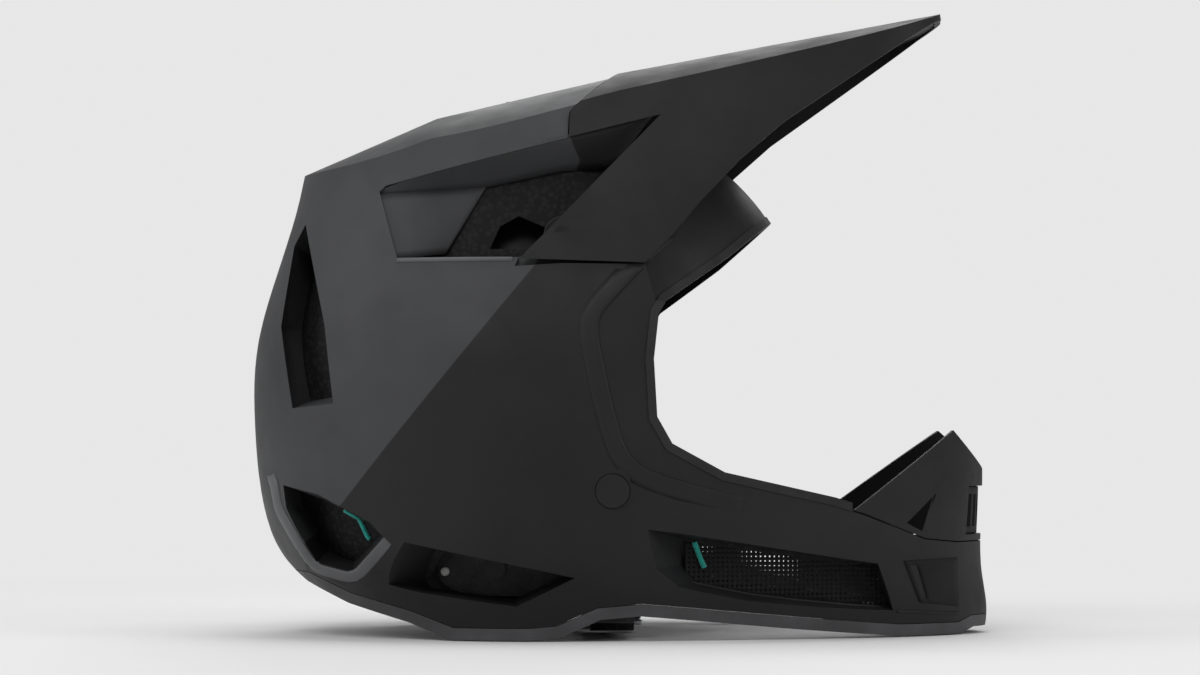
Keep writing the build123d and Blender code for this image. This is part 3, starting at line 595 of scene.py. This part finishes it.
def cushion(name, chart, material, thick=PAD_THICK, corner=5.0, around=96, channels=()):
    """A crowned pad on a curved wall, in place of a part of the plain liner.

    chart(s, w) gives a wall point and inward normal, s and w from -1 to 1. The outline is a
    soft-cornered rectangle, and the pad swells from a thin sewn edge to thick.
    """
    points, faces = [], []

    def depth(share, s):
        swell = (1 - share**PAD_FULLNESS) ** 0.5 if share < 1 else 0.0
        height = PAD_EDGE + (thick - PAD_EDGE) * swell
        for place, half in channels:
            away = abs(s - place)
            if away < half:
                kept = CHANNEL_SHARE + (1 - CHANNEL_SHARE) * (away / half) ** 2
                height = PAD_EDGE + (height - PAD_EDGE) * kept
        return height

    for ring in range(PAD_RINGS + 1):
        share = 1 - ring / PAD_RINGS
        for step in range(around if ring < PAD_RINGS else 1):
            s, w = (part * share for part in rounded(2 * pi * step / around, corner))
            spot, normal = chart(s, w)
            points.append(spot + normal * depth(share, s))
    for ring in range(PAD_RINGS - 1):
        faces += joined(ring * around, (ring + 1) * around, around)
    faces += fan((PAD_RINGS - 1) * around, PAD_RINGS * around, around)
    base = len(points)
    for share, lift in PAD_BACK:
        for step in range(around if share else 1):
            s, w = rounded(2 * pi * step / around, corner)
            spot, normal = chart(s * share, w * share)
            points.append(spot + normal * PAD_EDGE * lift)
    back = joined(0, base, around) + joined(base, base + around, around)
    faces += turned(back + fan(base + around, base + 2 * around, around))
    pad = mesh_piece(name, points, faces, material)
    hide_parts("comfort_liner")


for index, (y, x_low, x_high) in enumerate(CROWN_STRIPS):
    chart = strip_chart(x_low * MM, x_high * MM, y * MM)
    cushion(f"crown_pad_{index + 1}", chart, pad_knit, channels=STRIP_CHANNELS)
cushion("brow_pad", band_chart(*BROW_BAND), brow_knit, corner=6.0, around=120)
cushion("nape_pad", band_chart(*NAPE_BAND), brow_knit, NAPE_THICK, around=120, channels=NAPE_CHANNELS)
for side, word in SIDES:
    chart = band_chart(*(side * turn for turn in SIDE_TURNS), *SIDE_HEIGHTS)
    cushion(f"side_pad_{word}", chart, pad_knit)


# Cheek pads, drawn in side view

CHEEK_OUTLINE = (
    (30, 86), (18, 92), (-66, 92), (-80, 82), (-88, 46), (-86, 26), (-70, 20), (10, 22), (34, 34), (39, 60),
)
CHEEK_CENTRE = (-22, 58)
CHEEK_INSET = 0.6 * MM      # from the foam to the back of the pad
CHEEK_EDGE = 1.5 * MM
CHEEK_LEAST = 3 * MM
CHEEK_FULLNESS, CHEEK_SWELL = 3.4, 0.55
CHEEK_HOLLOW = 132 * MM     # half length and half width of the face's oval between the pads
CHEEK_GAP = 60.2 * MM
CHEEK_SEAM_Z, CHEEK_SEAM_HALF = 70 * MM, 5 * MM
CHEEK_SEAM_SLOPE, CHEEK_SEAM_X, CHEEK_SEAM_SHARE = 0.10, 20 * MM, 0.80
CHEEK_AROUND, CHEEK_RINGS = 96, 12
CHEEK_BACK = ((1.0, 0.4 * MM), (0.96, 0.0), (0.6, 0.0), (0.0, 0.0))    # share of the outline, lift
CORNER_ROUNDING, CORNER_PARTS = 0.28, 7
TINY = 1e-9


def column_y(x, inset):
    """Half width of the head's space at a place along the helmet."""
    along = (x - CAVITY_X) / (CAVITY_HALF_LENGTH - inset)
    return (CAVITY_HALF_WIDTH - inset) * (1 - along**2) ** 0.5


def smooth_loop(corners, count):
    """A closed outline through corners with each one rounded, as count evenly spaced points."""
    dense = []
    for index in range(len(corners)):
        before, here, after = (Vector(corners[(index + k) % len(corners)]) for k in (-1, 0, 1))
        start, end = here.lerp(before, CORNER_ROUNDING), here.lerp(after, CORNER_ROUNDING)
        for part in range(CORNER_PARTS + 1):
            t = part / CORNER_PARTS
            dense.append((1 - t) ** 2 * start + 2 * t * (1 - t) * here + t * t * end)
    lengths = [0.0]
    for a, b in zip(dense, dense[1:] + dense[:1]):
        lengths.append(lengths[-1] + (b - a).length)
    out, at = [], 0
    for step in range(count):
        want = lengths[-1] * step / count
        while lengths[at + 1] < want:
            at += 1
        t = (want - lengths[at]) / max(lengths[at + 1] - lengths[at], TINY)
        out.append(dense[at].lerp(dense[(at + 1) % len(dense)], t))
    return out


def cheek_depth(x, z, share):
    """How far a cheek pad stands out from the foam, share of the way from its middle to its edge."""
    along = (x - CAVITY_X) / CHEEK_HOLLOW
    full = max(column_y(x, CHEEK_INSET) - CHEEK_GAP * (1 - along**2) ** 0.5, CHEEK_LEAST)
    swell = (1 - share**CHEEK_FULLNESS) ** CHEEK_SWELL if share < 1 else 0.0
    seam = 1.0
    away = abs(z - (CHEEK_SEAM_Z + CHEEK_SEAM_SLOPE * (x + CHEEK_SEAM_X)))
    if away < CHEEK_SEAM_HALF:
        seam = CHEEK_SEAM_SHARE + (1 - CHEEK_SEAM_SHARE) * (away / CHEEK_SEAM_HALF) ** 2
    return CHEEK_EDGE + (full - CHEEK_EDGE) * swell * seam


def cheek_pad(side, name):
    """A contoured cheek pad: flat against the foam, crowned towards the face, sewn round its edge."""
    loop = smooth_loop([(x * MM, z * MM) for x, z in CHEEK_OUTLINE], CHEEK_AROUND)
    centre = Vector(CHEEK_CENTRE) * MM
    points, faces = [], []

    def add_ring(share, depth):
        for step in range(CHEEK_AROUND if share else 1):
            x, z = centre.lerp(loop[step], share)
            points.append((x, side * (column_y(x, CHEEK_INSET) - depth(x, z)), z))

    for ring in range(CHEEK_RINGS + 1):
        share = 1 - ring / CHEEK_RINGS
        add_ring(share, lambda x, z: cheek_depth(x, z, share))
    for ring in range(CHEEK_RINGS - 1):
        faces += joined(ring * CHEEK_AROUND, (ring + 1) * CHEEK_AROUND, CHEEK_AROUND)
    faces += fan((CHEEK_RINGS - 1) * CHEEK_AROUND, CHEEK_RINGS * CHEEK_AROUND, CHEEK_AROUND)
    base = len(points)
    for share, lift in CHEEK_BACK:
        add_ring(share, lambda x, z: lift)
    starts = [0] + [base + ring * CHEEK_AROUND for ring in range(len(CHEEK_BACK) - 1)]
    back = fan(starts[-1], starts[-1] + CHEEK_AROUND, CHEEK_AROUND)
    for low, high in zip(starts, starts[1:]):
        back += joined(low, high, CHEEK_AROUND)
    faces += turned(back)
    pad = mesh_piece(name, points, turned(faces) if side > 0 else faces, pad_knit)
    return pad


for side, word in SIDES:
    pad = cheek_pad(side, f"face_pad_{word}")
    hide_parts(f"cheek_pad_{word}")


# Neck roll, gathered a little by its stitches and drawn in at its ends

NECK_INSET = ROLL_RADIUS + SEAT_GAP
NECK_STEPS = 72
NECK_RADIUS = 9.8 * MM
NECK_END_SHARE, NECK_END_RISE = 0.35, 9
GATHER_DEPTH, GATHER_TURN, GATHER_POWER = 0.03, 60, 8

roll_path, roll_radii = [], []
for step in range(NECK_STEPS + 1):
    t = step / NECK_STEPS
    turn = radians(180 - ROLL_HALF_ANGLE + 2 * ROLL_HALF_ANGLE * t)
    a, b = CAVITY_HALF_LENGTH - NECK_INSET, CAVITY_HALF_WIDTH - NECK_INSET
    roll_path.append(Vector((CAVITY_X + a * cos(turn), b * sin(turn), ROLL_Z)))
    full = min(1.0, min(t, 1 - t) * NECK_END_RISE) ** 0.5
    gather = 1 - GATHER_DEPTH * sin(t * GATHER_TURN) ** GATHER_POWER
    roll_radii.append(NECK_RADIUS * (NECK_END_SHARE + (1 - NECK_END_SHARE) * full) * gather)
neck = tube("nape_roll", roll_path, roll_radii, pad_knit, around=28)
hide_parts("neck_roll")

# Piping round the front edge of each cheek pad, by its places in side view; its teal is painted glint
PIPING_ROUTE = ((30, 86), (38, 60), (34, 36), (24, 29))
PIPING_RADIUS = 1.3 * MM
PIPING_AHEAD = 1.4 * MM     # in front of the pad's edge
PIPING_INWARD = 2.6 * MM    # from the foam
PIPING_FRONT = 50 * MM      # past this, the head's space closes

for side, word in SIDES:
    route = []
    for x, z in PIPING_ROUTE:
        wall = column_y(min(x * MM, PIPING_FRONT), 0)
        route.append((x * MM + PIPING_AHEAD, side * (wall - PIPING_INWARD), z * MM))
    path = softened([Vector(p) for p in dense_line(route, parts=10)], passes=12)
    cord = tube(f"pad_edge_{word}", path, [PIPING_RADIUS] * len(path), glint_teal_piping, around=12)
    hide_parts("cheek_pad_piping")


# Chin strap, drawn by its Y and Z at its place along the helmet

STRAP_ROUTE = tuple((y * MM, z * MM) for y, z in ((112.35, 78.9), (112.35, 55), (87, 19), (64, 7), (14, 7)))
RIGHT_END = (-18 * MM, STRAP_LOW_Z)
STRAP_STEP = 2 * MM
LOOP_STEPS = 40
LOOP_RADIUS, LOOP_STRETCH = 3.7 * MM, 2.0 * MM
LOOP_LEVEL = 0.02           # a sine below this is level with the loop's middle
# Half of the webbing's section, as shares of its half width and half thickness
WEB_FACE = (
    (-1.0, 0.0), (-0.985, 0.7), (-0.95, 1.0), (-0.5, 1.0), (0, 1.0), (0.5, 1.0), (0.95, 1.0), (0.985, 0.7),
)


def ribbon(name, route, closed=False):
    """Webbing along a route, with its length and width as texture coordinates."""
    section = WEB_FACE + tuple((-across, -lift) for across, lift in WEB_FACE)
    section = [(across * STRAP_WIDTH / 2, lift * STRAP_THICKNESS / 2) for across, lift in section]
    points, uvs = [], []
    travelled = 0.0
    for index, (y, z) in enumerate(route):
        before = route[index - 1] if closed or index else route[index]
        after = route[(index + 1) % len(route)] if closed or index < len(route) - 1 else route[index]
        ahead = (Vector(after) - Vector(before)).normalized()
        if index:
            travelled += (Vector((y, z)) - Vector(route[index - 1])).length
        for across, lift in section:
            points.append((ANCHOR_X + across, y - ahead.y * lift, z + ahead.x * lift))
            uvs.append((travelled, across))
    return mesh_piece(name, points, lofted(len(route), len(section), closed), strap_weave, uvs)


def eased(route):
    """A route cut into short steps, with its corners eased."""
    dense = []
    for a, b in zip(route, route[1:]):
        a, b = Vector(a), Vector(b)
        parts = max(2, int((b - a).length / STRAP_STEP))
        dense += [a.lerp(b, part / parts) for part in range(parts)]
    return [tuple(p) for p in softened(dense + [Vector(route[-1])], passes=10)]


left_strap = ribbon("webbing_left", eased(STRAP_ROUTE))
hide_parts("chin_strap_left")
right_route = [(-y, z) for y, z in STRAP_ROUTE[:-1]] + [RIGHT_END]
right_strap = ribbon("webbing_right", eased(right_route))
loop = []
for step in range(LOOP_STEPS):
    turn = 2 * pi * step / LOOP_STEPS
    c, s = cos(turn), sin(turn)
    stretch = 0.0
    if abs(s) > LOOP_LEVEL:
        stretch = LOOP_STRETCH if s > 0 else -LOOP_STRETCH
    loop.append((RING_Y + LOOP_RADIUS * c, STRAP_LOW_Z + stretch + LOOP_RADIUS * s))
ring_loop = ribbon("webbing_loop", loop, closed=True)
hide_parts("chin_strap_right")
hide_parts("chin_strap_right")

SLEEVE_Y, SLEEVE_LENGTH = 26.3 * MM, 31.4 * MM
SLEEVE_HALF_WIDTH, SLEEVE_HALF_THICK = 15.2 * MM, 4.4 * MM
SLEEVE_END_SHARE = 0.55     # of its thickness that is left at its sewn ends
SLEEVE_WAIST = 0.04         # how much its ends draw in across
SLEEVE_FULLNESS, SLEEVE_CORNER = 3.5, 4
SLEEVE_AROUND, SLEEVE_STEPS = 40, 24

# The padded sleeve on the strap, swollen between its sewn ends
points = []
for index in range(SLEEVE_STEPS + 1):
    t = index / SLEEVE_STEPS
    swell = SLEEVE_END_SHARE + (1 - SLEEVE_END_SHARE) * (1 - abs(2 * t - 1) ** SLEEVE_FULLNESS)
    wide = SLEEVE_HALF_WIDTH * (1 - SLEEVE_WAIST + SLEEVE_WAIST * swell)
    for step in range(SLEEVE_AROUND):
        across, up = rounded(2 * pi * step / SLEEVE_AROUND, SLEEVE_CORNER)
        z = STRAP_LOW_Z + SLEEVE_HALF_THICK * up * swell
        points.append((ANCHOR_X + wide * across, SLEEVE_Y + SLEEVE_LENGTH * t, z))
sleeve = mesh_piece("chin_pad", points, lofted(SLEEVE_STEPS + 1, SLEEVE_AROUND), brow_knit)
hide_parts("strap_pad")


# Moulded inserts and edges, drawn in mm by their places in side view. Where no depth is given, it
# comes from the CAD surface behind.

FAR_OUT = 200 * MM


def surfaces(*names):
    """A function that meets the outermost of some CAD nodes from one flank, over a side view place."""
    trees = []
    for node in names:
        data = nodes[node].data
        corners = [v.co.copy() for v in data.vertices]
        trees.append(BVHTree.FromPolygons(corners, [tuple(p.vertices) for p in data.polygons]))

    def meet(x, z, side):
        best, found = None, 0.0
        for tree in trees:
            spot, _, _, distance = tree.ray_cast(Vector((x, side * FAR_OUT, z)), Vector((0, -side, 0)))
            if spot is not None and (best is None or distance < best):
                best, found = distance, abs(spot.y)
        return found
    return meet


on_shell = surfaces("outer_shell")
on_guard = surfaces("nose_guard", "outer_shell")
on_flank = surfaces("outer_shell", "eps_liner", "eps_chin", "eps_cheek_left", "eps_cheek_right")


def plate(name, grid, thick, material, side, keep=None):
    """A moulded sheet over a grid of (x, depth, z) in mm, rows from the top down, less cells not kept."""
    rows, columns = len(grid) - 1, len(grid[0]) - 1
    face = [[Vector((x * MM, side * d * MM, z * MM)) for x, d, z in row] for row in grid]
    kept = {(i, j) for i in range(rows) for j in range(columns) if keep is None or keep(i, j)}
    points, index, faces = [], {}, []

    def corner(i, j, back):
        if (i, j, back) not in index:
            index[i, j, back] = len(points)
            points.append(face[i][j] - Vector((0, side * thick * MM, 0)) * back)
        return index[i, j, back]

    for i, j in sorted(kept):
        ring = [(i, j), (i + 1, j), (i + 1, j + 1), (i, j + 1)]
        faces.append([corner(a, b, 0) for a, b in ring])
        faces.append([corner(a, b, 1) for a, b in reversed(ring)])
        beside = ((i, j - 1), (i + 1, j), (i, j + 1), (i - 1, j))
        for start, end, neighbour in zip(ring, ring[1:] + ring[:1], beside):
            if neighbour not in kept:
                faces.append([corner(*end, 0), corner(*start, 0), corner(*start, 1), corner(*end, 1)])
    return mesh_piece(name, points, turned(faces) if side > 0 else faces, material)


def spread_grid(top, bottom, rows):
    """Rows of points from a top line to a bottom line."""
    return [[between(a, b, row / rows) for a, b in zip(top, bottom)] for row in range(rows + 1)]


# Upper vents: places of the shell's edge, of the roof insert's foot and of the ramp's foot
ROOF_EDGE = (
    (-117, 78.0, 214.0), (-92, 85.0, 223.4), (-79, 87.0, 227.6), (-61, 88.2, 231.8), (-43, 88.4, 235.9),
    (-28, 87.6, 239.9), (-10, 84.4, 244.6), (4, 81.5, 247.8), (16, 79.0, 250.4),
)
ROOF_FOOT = (
    (-117, 77.8, 213.0), (-98, 78.2, 214.2), (-81, 77.6, 215.2), (-64, 77.2, 216.2), (-46, 78.0, 220.0),
    (-28, 76.8, 224.0), (-10, 73.6, 225.0), (0, 72.5, 229.4), (13, 76.0, 247.0),
)
RAMP_FOOT = ((-106.5, 91.5, 180.6), (-99, 90.0, 181.6), (-91, 87.6, 182.8), (-83, 84.6, 183.8))
ROOF_WALL, RAMP_WALL = 1.4, 1.6


def upper_vent(side, word):
    """The insert in an upper vent: its roof, and the ramp at its rear."""
    grid = spread_grid(dense_line(ROOF_EDGE, parts=3), dense_line(ROOF_FOOT, parts=3), rows=5)
    plate(f"upper_vent_roof_{word}", grid, ROOF_WALL, shell_paint, side)
    ramp_head = ROOF_FOOT[:len(RAMP_FOOT)]
    grid = spread_grid(dense_line(ramp_head, parts=6), dense_line(RAMP_FOOT, parts=6), rows=8)
    plate(f"upper_vent_ramp_{word}", grid, RAMP_WALL, shell_paint, side)


# Chin vents
SCREEN_OUTLINE = ((31, 47), (60, 50), (138, 36), (140, 14), (120, 15), (64, 20), (40, 24), (31, 32))
SCREEN_SPAN_X, SCREEN_SPAN_Z = (31, 141), (12, 51)
SCREEN_BAR, SCREEN_HOLE, SCREEN_WALL = 1.5, 0.8, 0.9
SCREEN_X, SCREEN_DEPTH, SCREEN_SLOPE = 32, 95.5, 0.40
PANEL_REAR = ((137.2, 36.6), (145.8, 16.2))         # head and foot of the corner panel's rear edge
PANEL_FRONT = ((165.6, 37.6), (166.6, 13.6))
PANEL_COLUMNS = (0.0, 0.09, 0.22, 0.30, 0.42, 0.54, 0.66, 0.78, 0.90, 1.0)
PANEL_ROWS, PANEL_SLOT = 10, 1                      # the slot is the column of this number
PANEL_PROUD, PANEL_WALL = 0.5, 1.2


def screen_depth(x):
    """How far out from the middle a chin vent's screen lies, in mm."""
    return SCREEN_DEPTH - (x - SCREEN_X) * SCREEN_SLOPE


def on_screen(x, z, side):
    return screen_depth(x / MM) * MM


def inside(x, z, outline):
    """Whether a place lies within an outline, by how many of its sides are passed on the way in."""
    within = False
    for (xa, za), (xb, zb) in zip(outline, outline[1:] + outline[:1]):
        if (za > z) != (zb > z) and x < xa + (z - za) * (xb - xa) / (zb - za):
            within = not within
    return within


def screen_lines(low, high):
    """Where the bars of a screen start and end."""
    lines, at, bar = [], low, True
    while at < high:
        lines.append(at)
        at += SCREEN_BAR if bar else SCREEN_HOLE
        bar = not bar
    return lines


def chin_vent(side, word):
    """The screen in a chin vent."""
    across, down = screen_lines(*SCREEN_SPAN_X), screen_lines(*SCREEN_SPAN_Z)[::-1]
    grid = [[(x, screen_depth(x), z) for x in across] for z in down]
    screen = plate(
        f"chin_vent_screen_{word}", grid, SCREEN_WALL, grille_black, side,
        lambda i, j: not (i % 2 and j % 2) and inside(across[j], down[i], SCREEN_OUTLINE),
    )


def chin_corner(side, word):
    """The panel at a front corner of the chin bar, with one slot behind a slanted bar."""
    grid = []
    for row in range(PANEL_ROWS + 1):
        rear, front = between(*PANEL_REAR, row / PANEL_ROWS), between(*PANEL_FRONT, row / PANEL_ROWS)
        places = [between(rear, front, share) for share in PANEL_COLUMNS]
        grid.append([(x, on_shell(x * MM, z * MM, side) / MM + PANEL_PROUD, z) for x, z in places])
    panel = plate(
        f"chin_corner_panel_{word}", grid, PANEL_WALL, grille_black, side,
        lambda i, j: not (j == PANEL_SLOT and 0 < i < PANEL_ROWS - 1),
    )


# Raised edges: a line in side view, cut and eased, with a section of reaches out from the line and
# lifts off the shell. The shell is met no nearer to the line than the least reach.
STEP_LINE = (
    (27, 192), (16, 181.5), (4, 168.5), (-7.5, 156), (-10.2, 150), (-9.6, 141), (-7, 128), (-3.6, 112.5),
    (0.8, 96), (4.5, 88), (10, 82.5), (22, 77.5), (40, 72.5), (60, 67),
)
STEP_SECTION = ((11.0, -0.25), (6.0, 0.45), (1.2, 0.95), (0.3, 0.85), (-0.5, -0.35), (4.0, -1.2))
STEP_LEAST = -0.5
FRAME_LINE = ((-166.6, 79.5), (-164.4, 74), (-162.2, 62.1), (-145.2, 35.9), (-127.3, 32.0), (-111.4, 49.2))
FRAME_SECTION = ((6.5, -0.4), (5.2, 0.5), (1.4, 1.4), (0.5, 1.2), (0.1, -2.2), (3.5, -2.0))
FRAME_LEAST = 1.4


def raised_edge(name, line, section, least, fading, material, side):
    """A crisp edge on the shell, to the right of a line. It fades out over fading points at its ends."""
    last = len(line) - 1
    loops = []
    for index, spot in enumerate(line):
        ahead = (line[min(index + 1, last)] - line[max(index - 1, 0)]).normalized()
        out = Vector((ahead.y, -ahead.x))
        fade = min(1.0, min(index, last - index) / fading)
        loop = []
        for reach, lift in section:
            x, z = spot + out * reach
            met_x, met_z = spot + out * max(reach, least)
            depth = on_shell(met_x * MM, met_z * MM, side)
            height = lift * fade if lift > 0 else lift
            loop.append(Vector((x * MM, side * (depth + height * MM), z * MM)))
        loops.append(loop)
    skin(name, loops, material, side)


# Round edges and piping: name, places in side view, parts of each stretch, lift off the surface, the
# surface, radius, material, points round, and the record's material slot
# The piping's teal is painted glint, standing in for teal glints of light inside the helmet
BEADS = (
    (
        "upper_vent_sill", ((-105.5, 180.2), (-87, 180.2), (-69, 180.2), (-50.5, 180.2)), 6, -0.2,
        on_shell, 1.2, frame_grey, 10, "shell",
    ),
    (
        "guard_seal", ((147.0, 47.7), (142.0, 49.6), (136.0, 52.0)), 4, -2.2,
        on_guard, 1.1, grille_black, 10, "guard",
    ),
    (
        "chin_vent_lip", ((134, 12.2), (141, 11.8), (150, 11.2), (158, 10.6), (166, 10.2)), 4, -0.1,
        on_shell, 0.7, shell_paint, 10, "shell",
    ),
    (
        "chin_vent_rib", ((34, 27.5), (46, 24.8), (62, 21.4), (84, 18.4), (108, 15.8), (128, 14.2)), 5, -0.2,
        on_shell, 0.8, shell_paint, 10, "shell",
    ),
    (
        # teal painted glint at the nape
        "nape_piping",
        ((-131.5, 61.5), (-128, 59.4), (-125, 57.6), (-122.6, 53), (-121.0, 49.5), (-119.4, 47.2)), 4, 0.6,
        on_flank, 1.2, glint_teal_piping, 12, "piping",
    ),
    (
        # teal painted glint at the cheek pad's front edge
        "pad_piping", ((35.4, 46.6), (36.4, 44), (38.0, 39.5), (40.2, 34.4)), 5, 1.2,
        on_screen, 1.3, glint_teal_piping, 12, "piping",
    ),
)
CAP_X, CAP_Z = -83.4 * MM, 32.0 * MM
CAP_STEPS = 24
CAP_PROFILE = ((2.2, -1.2), (2.2, 0.6), (1.9, 1.1), (1.4, 1.4), (0.7, 1.5), (0.1, 1.5))  # radius, height


def bead(name, places, parts, lift, meet, radius, material, around, slot, side):
    """A round edge or a piping laid on a surface. A teal piping's colour is painted glint."""
    path = []
    for x, z in dense_line(places, parts):
        path.append(Vector((x * MM, side * (meet(x * MM, z * MM, side) + lift * MM), z * MM)))
    tube(name, path, [radius * MM] * len(path), material, around)


def snap_cap(side, word):
    """The back of a cheek pad's snap, seen through the lower window."""
    depth = column_y(CAP_X, CHEEK_INSET)
    turns = [2 * pi * step / CAP_STEPS for step in range(CAP_STEPS)]
    loops = []
    for radius, height in CAP_PROFILE:
        reach, y = radius * MM, side * (depth + height * MM)
        loops.append([Vector((CAP_X + reach * cos(t), y, CAP_Z + reach * sin(t))) for t in turns])
    skin(f"pad_snap_cap_{word}", loops, cap_white, side)


step_line = softened([Vector(p) for p in dense_line(STEP_LINE, parts=5)], passes=3)
frame_line = softened([Vector(p) for p in dense_line(FRAME_LINE, parts=8)], passes=2)
for side, word in SIDES:
    upper_vent(side, word)
    chin_vent(side, word)
    chin_corner(side, word)
    raised_edge(f"eye_port_step_{word}", step_line, STEP_SECTION, STEP_LEAST, 8, shell_paint, side)
    raised_edge(f"rear_window_frame_{word}", frame_line, FRAME_SECTION, FRAME_LEAST, 4, frame_grey, side)
    for name, *details in BEADS:
        bead(f"{name}_{word}", *details, side)
    snap_cap(side, word)


# Floor, which fades into the backdrop for the camera

FLOOR_REACH = 14
FLOOR_DROP = 0.5 * MM
FLOOR_TONES = ((0.76, 0.76, 0.76), (0.79, 0.79, 0.79))
FADE_START, FADE_END = 0.32, 0.95

data = bpy.data.meshes.new("floor")
corners = [(x * FLOOR_REACH, y * FLOOR_REACH, 0) for x, y in ((-1, -1), (1, -1), (1, 1), (-1, 1))]
data.from_pydata(corners, [], [(0, 1, 2, 3)])
floor = placed("floor", data)
floor.location.z = -FLOOR_DROP
ground = Shader("floor", rough=0.9)
ground.colour(ground.blend(ground.noise(scale=3, detail=2), *FLOOR_TONES))
away = ground.new("ShaderNodeVectorMath", operation="LENGTH")
ground.link(ground.place, away.inputs[0])
faded = ground.math(
    "MULTIPLY", ground.spread(away.outputs["Value"], FADE_START, FADE_END),
    ground.new("ShaderNodeLightPath").outputs["Is Camera Ray"],
)
far = ground.new("ShaderNodeEmission")
far.inputs["Color"].default_value = BACKDROP
join = ground.new("ShaderNodeMixShader")
ground.link(faded, join.inputs["Fac"])
ground.link(ground.principled.outputs[0], join.inputs[1])
ground.link(far.outputs[0], join.inputs[2])
ground.link(join.outputs[0], ground.out.inputs["Surface"])
data.materials.append(ground.material)
